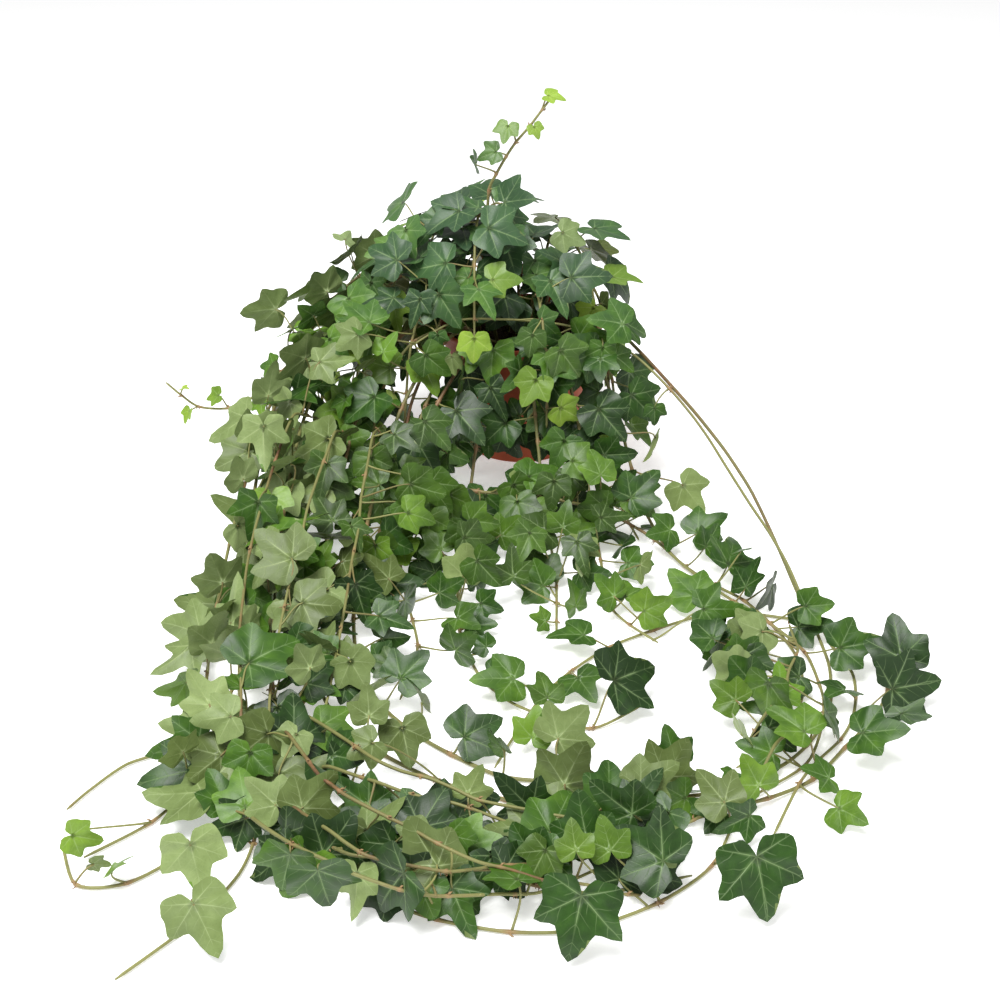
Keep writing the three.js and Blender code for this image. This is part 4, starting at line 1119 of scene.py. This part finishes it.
@dataclass
class Vine:
    """One leafy stem: a smooth stem with swollen joints, its leaves, buds and rootlets."""

    name: str
    seed: int
    materials: list[bpy.types.Material]
    points: list[Vector] = field(default_factory=list)
    leaves: list[LeafPose] = field(default_factory=list)
    more: list[ExtraLeaf] = field(default_factory=list)

    def read(self) -> None:
        """Takes the stem and the leaves over from the solid model."""
        self.points, self.leaves = VineReader(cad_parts[self.name]).read()

    def curve(self) -> tuple[list[Vector], list[float]]:
        """A smooth line through the stem's points, and how far along the stem each place is."""
        return smooth(self.points, STEM_STEPS)

    def add_stem(self, mesh: MeshParts, rng: random.Random) -> None:
        """Adds the stem with a swelling at each leaf.

        Args:
            mesh: The mesh that it goes into.
            rng: The draws.
        """
        line, places = self.curve()
        last = len(self.points) - 1
        joints = {leaf.at for leaf in self.leaves}
        woody = rng.uniform(0.25, 0.6)
        radii, looks = [], []
        for point, place in zip(line, places):
            share = place / last
            near = min((abs(place - j) for j in joints), default=9)
            swell = 1 + 0.32 * math.exp(-((near / 0.1) ** 2))
            radii.append(blended(*STEM_RADII, share) * MM * swell)
            wave = noise.noise(point * 18 + Vector((self.seed, 0, 0)))
            shade = clamped(woody * (1.15 - 0.9 * share) + 0.5 * wave + (0.15 if near < 0.15 else 0))
            looks.append((blended(0.2, 0.8, share), 0.85 * math.exp(-((near / 0.13) ** 2)), shade))
            point.z = max(point.z, radii[-1] + 0.1 * MM) if point.z < 6 * MM else point.z
        radii[-1] *= 0.55
        mesh.tube(line, radii, STEM_SIDES, 2, looks)

    def add_runner(self, mesh: MeshParts, runner: Runner, rng: random.Random) -> None:
        """Adds a side stem with a thin start and joints at even steps.

        Args:
            mesh: The mesh that it goes into.
            runner: The side stem.
            rng: The draws.
        """
        line = runner.line()
        woody = rng.uniform(0.1, 0.6)
        radii, looks = [], []
        for i, point in enumerate(line):
            joint = 1 if i % JOINT_EVERY == JOINT_EVERY // 2 - 1 else 0
            share = i / (len(line) - 1)
            start = min(1, (i + 3) / JOINT_EVERY)
            radii.append(blended(*RUNNER_RADII, share) * (1.25 if joint else 1) * start * MM)
            shade = woody + 0.5 * noise.noise(point * 20)
            looks.append((blended(0.3, 0.8, share), 0.7 * joint, clamped(shade)))
            if joint:
                self.add_joint(mesh, point, (line[min(i + 1, len(line) - 1)] - line[i - 1]).normalized(), rng)
        radii[-1] *= 0.6
        mesh.tube(line, radii, STEM_SIDES, 2, looks)

    def add_joint(self, mesh: MeshParts, point: Vector, ahead: Vector, rng: random.Random) -> None:
        """Adds a bud, and at some joints a tuft of rootlets.

        Args:
            mesh: The mesh that it goes into.
            point: The middle of the stem there.
            ahead: Direction of the stem.
            rng: The draws.
        """
        out = square_to(jitter(rng, 1) + Vector((0, 0, 0.3)), ahead)
        bud = [point + (out * side + ahead * far) * MM for side, far in ((0.8, 0), (1.9, 0.6), (2.6, 1.8))]
        mesh.tube(bud, [0.7 * MM, 0.6 * MM, 0.15 * MM], 5, 2, (0.6, 0.8, 0.35))
        if rng.random() < 0.4:
            for _ in range(rng.randint(3, 7)):
                way = square_to(jitter(rng, 1) - Vector((0, 0, 0.25)), ahead)
                size = rng.uniform(1.4, 3.4) * MM
                start = point + ahead * rng.uniform(-2.5, 2.5) * MM + way * 0.8 * MM
                path = [start, start + way * size * 0.6, start + way * size + jitter(rng, 1.2 * MM)]
                path = raised(path, 0.35 * MM)
                if (path[2] - path[1]).length > 0.1 * MM and (path[1] - path[0]).length > 0.1 * MM:
                    mesh.tube(path, [0.3 * MM, 0.24 * MM, 0.12 * MM], 4, 2, (0.7, 0.6, 0.75))

    def build(self) -> bpy.types.Object:
        """Builds the piece and hides the solid model's node that it takes the place of.

        Returns:
            The piece.
        """
        rng = random.Random(SEED + self.seed)
        mesh = MeshParts()
        self.add_stem(mesh, rng)
        builder = LeafBuilder(mesh, rng)
        last = len(self.points) - 1
        for leaf in self.leaves:
            left = (last - leaf.at) / max(1, last)
            small = clamped((30 * MM - leaf.lobe) / (9 * MM))
            youth = clamped(max(0, 1.1 - (last - leaf.at) * 0.25) * small)
            if rng.random() < 0.1:
                youth = max(youth, rng.uniform(0.3, 0.8) * small)
            youth *= min(1, leaf.notch.z / (90 * MM))
            tone = rng.gauss(0.42, 0.2) + 0.1 * (1 - left) - 0.35 * clamped((leaf.lobe / MM - 27) / 8)
            tone += 0.35 * clamped((-leaf.notch.x / MM - 110) / 50) - 0.05
            tone = clamped(tone)
            ahead = (self.points[leaf.at + 1] - self.points[leaf.at]).normalized()
            builder.leaf(leaf, ahead, (tone, youth, 0))
            self.add_joint(mesh, self.points[leaf.at], ahead, rng)
        for runner in RUNNERS:
            if runner.vine == self.name:
                self.add_runner(mesh, runner, rng)
        for extra in self.more:
            builder.leaf(extra.pose, extra.ahead, extra.look)
        piece = mesh.build("fine_" + self.name, self.materials, "ivy")
        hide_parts(self.name)
        return piece


@dataclass(frozen=True)
class Thicket:
    """A place where leaves stand close together, in millimetres.

    Attributes:
        centre: Its middle.
        spread: Half its size along each axis.
        leaves: How many leaves are added at most.
        widths: The least and the greatest width of a leaf.
        face: Where upper sides turn to.
        pale: Share of leaves that turn their underside there instead.
        tone: Mean tone, from dark to light.
        youth: How young the leaves are.
        shell: Whether leaves keep to the outside of the place and turn outwards.
    """

    centre: Triple
    spread: Triple
    leaves: int
    widths: tuple[float, float] = (30, 40)
    face: Triple = (0, -0.75, 0.65)
    pale: float = 0.1
    tone: float = 0.4
    youth: float = 0.0
    shell: bool = False


THICKETS = (
    Thicket((-40, -15, 95), (108, 95, 112), 90, (28, 37), shell=True, pale=0.06),
    Thicket((38, -80, 108), (38, 20, 30), 12, (25, 33), pale=0.05),
    Thicket((30, -92, 62), (34, 20, 34), 9, (25, 33), pale=0.05),
    Thicket((-125, -60, 100), (60, 70, 45), 20, (28, 38), pale=0.5, tone=0.5),
    Thicket((-170, -170, 62), (45, 90, 45), 18, (32, 42), (-0.3, -0.7, 0.5), pale=0.8, tone=0.65),
    Thicket((-165, -310, 32), (50, 90, 30), 18, (32, 44), (-0.3, -0.7, 0.5), pale=0.8, tone=0.6),
    Thicket((-95, -180, 55), (50, 80, 50), 28, (26, 36), pale=0.05, youth=0.12),
    Thicket((-115, -320, 20), (45, 80, 20), 16, (26, 36), pale=0.3, tone=0.2),
    Thicket((-150, -450, 16), (55, 55, 14), 17, (28, 40), pale=0.3, tone=0.2),
    Thicket((-100, -515, 14), (50, 34, 12), 20, (28, 40), pale=0.2, tone=0.15),
    Thicket((-40, -532, 17), (52, 28, 14), 22, (26, 38), pale=0.2, tone=0.15),
    Thicket((35, -522, 17), (52, 30, 14), 17, (26, 38), pale=0.15, tone=0.2),
    Thicket((85, -490, 16), (40, 26, 12), 6, (26, 36), pale=0.2),
    Thicket((110, -335, 22), (42, 26, 18), 8, (26, 36), pale=0.15),
    Thicket((135, -400, 16), (30, 45, 12), 6, (26, 34), pale=0.3),
    Thicket((-10, -235, 26), (65, 40, 22), 15, (24, 33), pale=0.05, youth=0.12, tone=0.35),
    Thicket((35, -165, 36), (50, 35, 30), 14, (24, 33), pale=0.03, youth=0.12, tone=0.35),
)


@dataclass(frozen=True)
class Gap:
    """A clear lane between leaves, in millimetres.

    Attributes:
        start: Its deep end.
        end: Its open end, towards the front.
        radius: Half its width.
    """

    start: Triple
    end: Triple
    radius: float

    def holds(self, spot: Vector) -> bool:
        """Whether a place is in the lane.

        Args:
            spot: The place in millimetres.

        Returns:
            True if it is.
        """
        start, run = Vector(self.start), Vector(self.end) - Vector(self.start)
        share = clamped((spot - start).dot(run) / run.length_squared)
        return (start + run * share - spot).length < self.radius


CROSSING = ("vine_left_arc", 11)
GAPS = (
    Gap((-42, -48, 92), (-38, -280, 185), 17),
    Gap((40, -52, 60), (32, -280, 150), 13),
    Gap((-78, -60, 75), (-66, -280, 165), 15),
    Gap((0, -350, 5), (-15, -430, 25), 48),
)


@dataclass
class Foliage:
    """Fills the thick places with leaves on the stems that lie near."""

    vines: list[Vine]
    rng: random.Random
    taken: dict[Numbers, list[Vector]] = field(default_factory=dict)
    roots: list[Vector] = field(default_factory=list)
    gaps: list[Gap] = field(default_factory=lambda: list(GAPS))
    cell: float = 8 * MM

    def __post_init__(self) -> None:
        """Keeps the lanes above the side stems and above the stem across the crown clear."""
        places = [p for runner in RUNNERS for p in runner.route[1:-1]]
        for vine in self.vines:
            if vine.name == CROSSING[0]:
                line = [p / MM for p in vine.points[-CROSSING[1] :]]
                places += [tuple(p) for p in line] + [tuple((p + q) / 2) for p, q in pairwise(line)]
        for x, y, z in places:
            self.gaps.append(Gap((x, y, z), (x, y - 80, z + 42), 5))

    def samples(self, pose: LeafPose) -> list[Vector]:
        """Some places on a leaf's blade.

        Args:
            pose: The leaf's pose.

        Returns:
            The places.
        """
        right = pose.tip.cross(pose.face)
        spots = ((0, 0.1), (0, 0.45), (0, 0.85), (0.42, 0.3), (-0.42, 0.3), (0.3, 0), (-0.3, 0))
        return [pose.notch + (right * x + pose.tip * y) * pose.lobe for x, y in spots]

    def take(self, pose: LeafPose) -> None:
        """Marks the room of a leaf as taken."""
        for spot in self.samples(pose):
            self.taken.setdefault(tuple(math.floor(c / self.cell) for c in spot), []).append(spot)

    def room(self, pose: LeafPose) -> float:
        """The distance from a leaf to the nearest one, up to the size of a cell.

        Args:
            pose: The leaf's pose.

        Returns:
            The distance in metres.
        """
        least = self.cell
        for spot in self.samples(pose):
            key = [math.floor(c / self.cell) for c in spot]
            for step in product((-1, 0, 1), repeat=3):
                for other in self.taken.get(tuple(k + d for k, d in zip(key, step)), ()):
                    least = min(least, (other - spot).length)
        return least

    def free(self, pose: LeafPose) -> bool:
        """Whether a leaf keeps off the floor, out of the pot, inside the plant's box and out of its gaps.

        Args:
            pose: The leaf's pose.

        Returns:
            True if it does.
        """
        for spot in self.samples(pose):
            x, y, z = (c / MM for c in spot)
            if any(gap.holds(spot / MM) for gap in self.gaps):
                return False
            if z < FLOOR_CLEAR or (math.hypot(x, y) < POT_CLEAR[0] and z < POT_CLEAR[1]):
                return False
            if not all(low < c < high for c, (low, high) in zip((x, y, z), PLANT_BOX)):
                return False
        return True

    def fill(self, thickets: tuple[Thicket, ...]) -> None:
        """Adds the leaves of every thick place to the vines.

        Args:
            thickets: The places.
        """
        spots: list[tuple[Vine, Vector, Vector]] = []
        for vine in self.vines:
            for leaf in vine.leaves:
                self.take(leaf)
            line, places = vine.curve()
            for i, place in enumerate(places[:-1]):
                if place > 1.4:
                    spots.append((vine, line[i], (line[i + 1] - line[i]).normalized()))
            for runner in RUNNERS:
                if runner.vine == vine.name:
                    line = runner.line()
                    spots += [(vine, line[i], (line[i + 1] - line[i]).normalized()) for i in range(len(line) - 1)]
        tree = KDTree(len(spots))
        for i, (_, point, _) in enumerate(spots):
            tree.insert(point, i)
        tree.balance()
        for thicket in thickets:
            count = 0
            for _ in range(thicket.leaves * TRIES):
                if count == thicket.leaves:
                    break
                found = self.offer(thicket, tree, spots)
                if found is None:
                    continue
                vine, extra = found
                if not self.free(extra.pose) or self.room(extra.pose) < LEAF_CLEAR:
                    continue
                vine.more.append(extra)
                self.take(extra.pose)
                self.roots.append(extra.pose.root)
                count += 1
            LOG.info("thick place at %s: %d leaves", thicket.centre, count)

    def offer(self, thicket: Thicket, tree: KDTree, spots: list) -> tuple[Vine, ExtraLeaf] | None:
        """Draws one leaf for a thick place.

        Args:
            thicket: The place.
            tree: The stems' points by place.
            spots: The vine, the point and the direction of each of them.

        Returns:
            The vine and its new leaf, or None if no stem is near.
        """
        rng = self.rng
        way = Vector((rng.gauss(0, 1), rng.gauss(0, 1), rng.gauss(0, 1))).normalized()
        far = rng.uniform(0.72, 1.0) if thicket.shell else rng.random() ** (1 / 3)
        notch = Vector([(c + a * far * w) * MM for c, a, w in zip(thicket.centre, thicket.spread, way)])
        if notch.z < 5 * MM:
            return None
        least, usual, most = STALK_REACH
        near = [(abs(gap - usual), i) for _, i, gap in tree.find_range(notch, most) if gap > least]
        if not near:
            return None
        vine, root, ahead = spots[min(near)[1]]
        if any((root - other).length < ROOT_CLEAR for other in self.roots):
            return None
        light = Vector(thicket.face).normalized()
        if thicket.shell:
            light = (way * 1.1 + light * 0.7 + Vector((0, 0, 0.25))).normalized()
        face = (light + jitter(rng, 0.9)).normalized()
        if rng.random() < thicket.pale:
            face = -face
        reach = (notch - root).normalized()
        hang = 0.9 if notch.z > 30 * MM else 0.25
        tip = square_to(reach * 0.7 - Vector((0, 0, hang)) + jitter(rng, 1.1), face)
        width = rng.uniform(*thicket.widths) * MM
        forms = (LeafForms.ARROW, LeafForms.FIVE) if notch.z > 80 * MM else (LeafForms.THREE, LeafForms.BROAD)
        form = rng.choice((*forms, LeafForms.ARROW)).value
        pose = LeafPose(0, root, notch, tip, face, width * 0.8, form, rng.uniform(-0.05, 0.25), rng.uniform(0, 0.25))
        tone = clamped(rng.gauss(thicket.tone, 0.25))
        return vine, ExtraLeaf(pose, ahead, (tone, thicket.youth * rng.uniform(0.6, 1), 0))


# Pot and soil


@dataclass
class Pot:
    """The nursery pot: a tapered wall, a stepped band and a rolled rim. It has no drain holes here."""

    material: bpy.types.Material
    sides: int = 96

    def profile(self) -> list[tuple[float, float]]:
        """Radius and height along the wall in millimetres, outside up and inside down.

        Returns:
            The points, from the middle of the base.
        """
        return [
            (0, 0.6), (20, 0.6), (38, 0.5), (41, 0), (43, 0), (43.8, 0.4), (44.2, 1.4), (46.5, 15), (49.5, 32),
            (52.6, 50), (55.4, 66), (57.3, 77.2), (57.9, 78), (59.6, 78.3), (60.1, 79), (60.3, 81),
            (61.7, 88), (63, 95.5), (63.6, 99.5), (64.2, 100.2), (64.7, 101), (64.95, 102.6), (64.9, 104),
            (64.5, 104.8), (64, 105), (63.5, 104.8), (63.3, 104), (62, 97), (60.4, 88), (58.6, 81), (56, 79),
            (53.8, 66), (50.9, 50), (47.9, 32), (44.9, 15), (42.6, 3), (41.8, 1.9), (38, 1.7), (20, 1.7), (0, 1.7),
        ]

    def build(self) -> bpy.types.Object:
        """Builds the piece and hides the solid model's node that it takes the place of.

        Returns:
            The piece.
        """
        mesh = MeshParts()
        rows = [
            [mesh.add(Vector((radius * x, radius * y, height)) * MM) for x, y in circle(self.sides if radius else 1)]
            for radius, height in self.profile()
        ]
        mesh.skin(rows)
        piece = mesh.build("fine_pot", [self.material], "pot_plastic")
        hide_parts("pot")
        return piece


@dataclass
class Soil:
    """The potting soil: a body that fills the pot, with a crumbly top."""

    material: bpy.types.Material
    sides: int = 72
    crumbs: int = 260

    def top(self, x: float, y: float) -> float:
        """The height of the surface in metres.

        Args:
            x: Place to the right.
            y: Place to the back.

        Returns:
            The height.
        """
        place = Vector((x, y, 0))
        broad = noise.noise(place * 45) * 1.6
        return SOIL_TOP + (broad + noise.noise(place * 160) * 0.9 - 0.8) * MM

    def build(self) -> bpy.types.Object:
        """Builds the piece and hides the solid model's node that it takes the place of.

        Returns:
            The piece.
        """
        rng = random.Random(SEED)
        mesh = MeshParts()
        rows = [[mesh.add(Vector((0, 0, self.top(0, 0))))]]
        for radius in (4, 9, 14, 19, 24, 29, 34, 39, 44, 49, 54, 58, 60.2):
            spots = [(radius * MM * x, radius * MM * y) for x, y in circle(self.sides, 0.5 * (radius % 2))]
            rows.append([mesh.add(Vector((x, y, self.top(x, y)))) for x, y in spots])
        for radius, height in ((57.5, 83), (55, 79), (42, 2.2)):
            spots = [Vector((radius * x, radius * y, height)) * MM for x, y in circle(self.sides)]
            rows.append([mesh.add(spot) for spot in spots])
        rows.append([mesh.add(Vector((0, 0, 2.2 * MM)))])
        mesh.skin(rows, turned=True)
        for _ in range(self.crumbs):
            self.add_crumb(mesh, rng)
        piece = mesh.build("fine_soil", [self.material], "potting_soil")
        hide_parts("soil")
        return piece

    def add_crumb(self, mesh: MeshParts, rng: random.Random) -> None:
        """Adds one lump of soil on the surface.

        Args:
            mesh: The mesh that it goes into.
            rng: The draws.
        """
        far, turn = 57 * MM * math.sqrt(rng.random()), rng.uniform(0, 2 * math.pi)
        x, y = far * math.cos(turn), far * math.sin(turn)
        size = rng.uniform(0.7, 2.4) * MM
        centre = Vector((x, y, self.top(x, y) + 0.2 * size))
        corners = [Vector(c) for c in ((1, 0, 0), (-1, 0, 0), (0, 1, 0), (0, -1, 0), (0, 0, 1), (0, 0, -1))]
        numbers = [mesh.add(centre + c * size * rng.uniform(0.6, 1.1) + jitter(rng, 0.4) * size) for c in corners]
        for a, b in ((0, 2), (2, 1), (1, 3), (3, 0)):
            mesh.face((numbers[4], numbers[a], numbers[b]), 0)
            mesh.face((numbers[5], numbers[b], numbers[a]), 0)


# Stage


@dataclass
class Studio:
    """A plain pale floor, soft light and the camera of the photograph's view."""

    place: Triple = (-0.017, -1.13, 0.535)
    tilt: float = 62.35
    lens: float = 54.0

    def stand(self, name: str, data: bpy.types.ID) -> bpy.types.Object:
        """Adds one object of the stage.

        Args:
            name: Its name.
            data: Its mesh, light or camera.

        Returns:
            The object.
        """
        made = bpy.data.objects.new(name, data)
        bpy.context.scene.collection.objects.link(made)
        made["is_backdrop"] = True
        return made

    def floor(self) -> None:
        """Adds the floor."""
        mesh = bpy.data.meshes.new("floor")
        far = 12.0
        mesh.from_pydata([(-far, -far, 0), (far, -far, 0), (far, far, 0), (-far, far, 0)], [], [(0, 1, 2, 3)])
        graph = Graph("floor")
        graph.set(Base_Color=(*[0.96] * 3, 1), Emission_Color=(1, 1, 1, 1), Emission_Strength=0.4)
        graph.set(Roughness=0.9, Specular_IOR_Level=0.1)
        mesh.materials.append(graph.material)
        self.stand("floor", mesh)

    def lamp(self, name: str, place: tuple, aim: tuple, size: float, power: float) -> None:
        """Adds a soft square lamp.

        Args:
            name: Its name.
            place: Where it stands.
            aim: What it points at.
            size: Its side in metres.
            power: Its strength in watts.
        """
        data = bpy.data.lights.new(name, "AREA")
        data.size = size
        data.energy = power
        lamp = self.stand(name, data)
        lamp.location = place
        lamp.rotation_euler = (Vector(aim) - Vector(place)).to_track_quat("-Z", "Y").to_euler()

    def build(self) -> None:
        """Adds the floor, the light and the camera."""
        self.floor()
        self.lamp("key", (-0.5, -0.9, 2.0), (0, -0.25, 0), 1.1, 60)
        self.lamp("fill", (1.4, -1.4, 1.2), (0, -0.25, 0.05), 1.8, 9)
        world = bpy.data.worlds.new("studio")
        world.use_nodes = True
        sky = world.node_tree.nodes["Background"].inputs
        sky["Color"].default_value, sky["Strength"].default_value = (1, 1, 1, 1), 0.42
        bpy.context.scene.world = world
        bpy.context.scene.view_settings.view_transform = "Standard"
        camera = bpy.data.cameras.new("camera")
        camera.lens = self.lens
        camera.sensor_width = 36
        made = self.stand("camera", camera)
        made.location = self.place
        made.rotation_euler = (math.radians(self.tilt), 0, 0)
        bpy.context.scene.camera = made


def corners() -> list[list[float]]:
    """The lowest and highest corner of the shown object as plain lists."""
    return [list(corner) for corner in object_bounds()]


def main() -> None:
    """Builds the plant and its stage."""
    logging.basicConfig(level=logging.INFO, format="%(name)s %(message)s")
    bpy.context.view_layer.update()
    leaf_upper = LeafFinish(
        LeafSide.UPPER, ("1b3210", "2b4b16", "41641b", "608427"), ("7b9d33", "a6c247"), "96b078", (0.42, 0.2),
        0.4, -1.0, 0.35, 0.45,
    ).build()
    leaf_under = LeafFinish(
        LeafSide.UNDER, ("556432", "667742", "778952", "8a9c64"), ("93ab52", "aabf62"), "b3c38c", (0.5, 0.2),
        0.44, 1.0, 0.15, 0.7,
    ).build()
    bark = BarkFinish(("66663a", "8c8c56"), ("4f3626", "80603f"), 0.5, 0.15 * MM).build()
    Pot(PotFinish().build()).build()
    Soil(SoilFinish().build()).build()
    noise.seed_set(SEED)
    names = sorted(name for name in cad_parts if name.startswith("vine_"))
    vines = [Vine(name, number, [leaf_upper, leaf_under, bark]) for number, name in enumerate(names)]
    for vine in vines:
        vine.read()
    Foliage(vines, random.Random(SEED)).fill(THICKETS)
    for vine in vines:
        vine.build()
    Studio().build()
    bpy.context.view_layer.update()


if __name__ == "__main__":
    main()
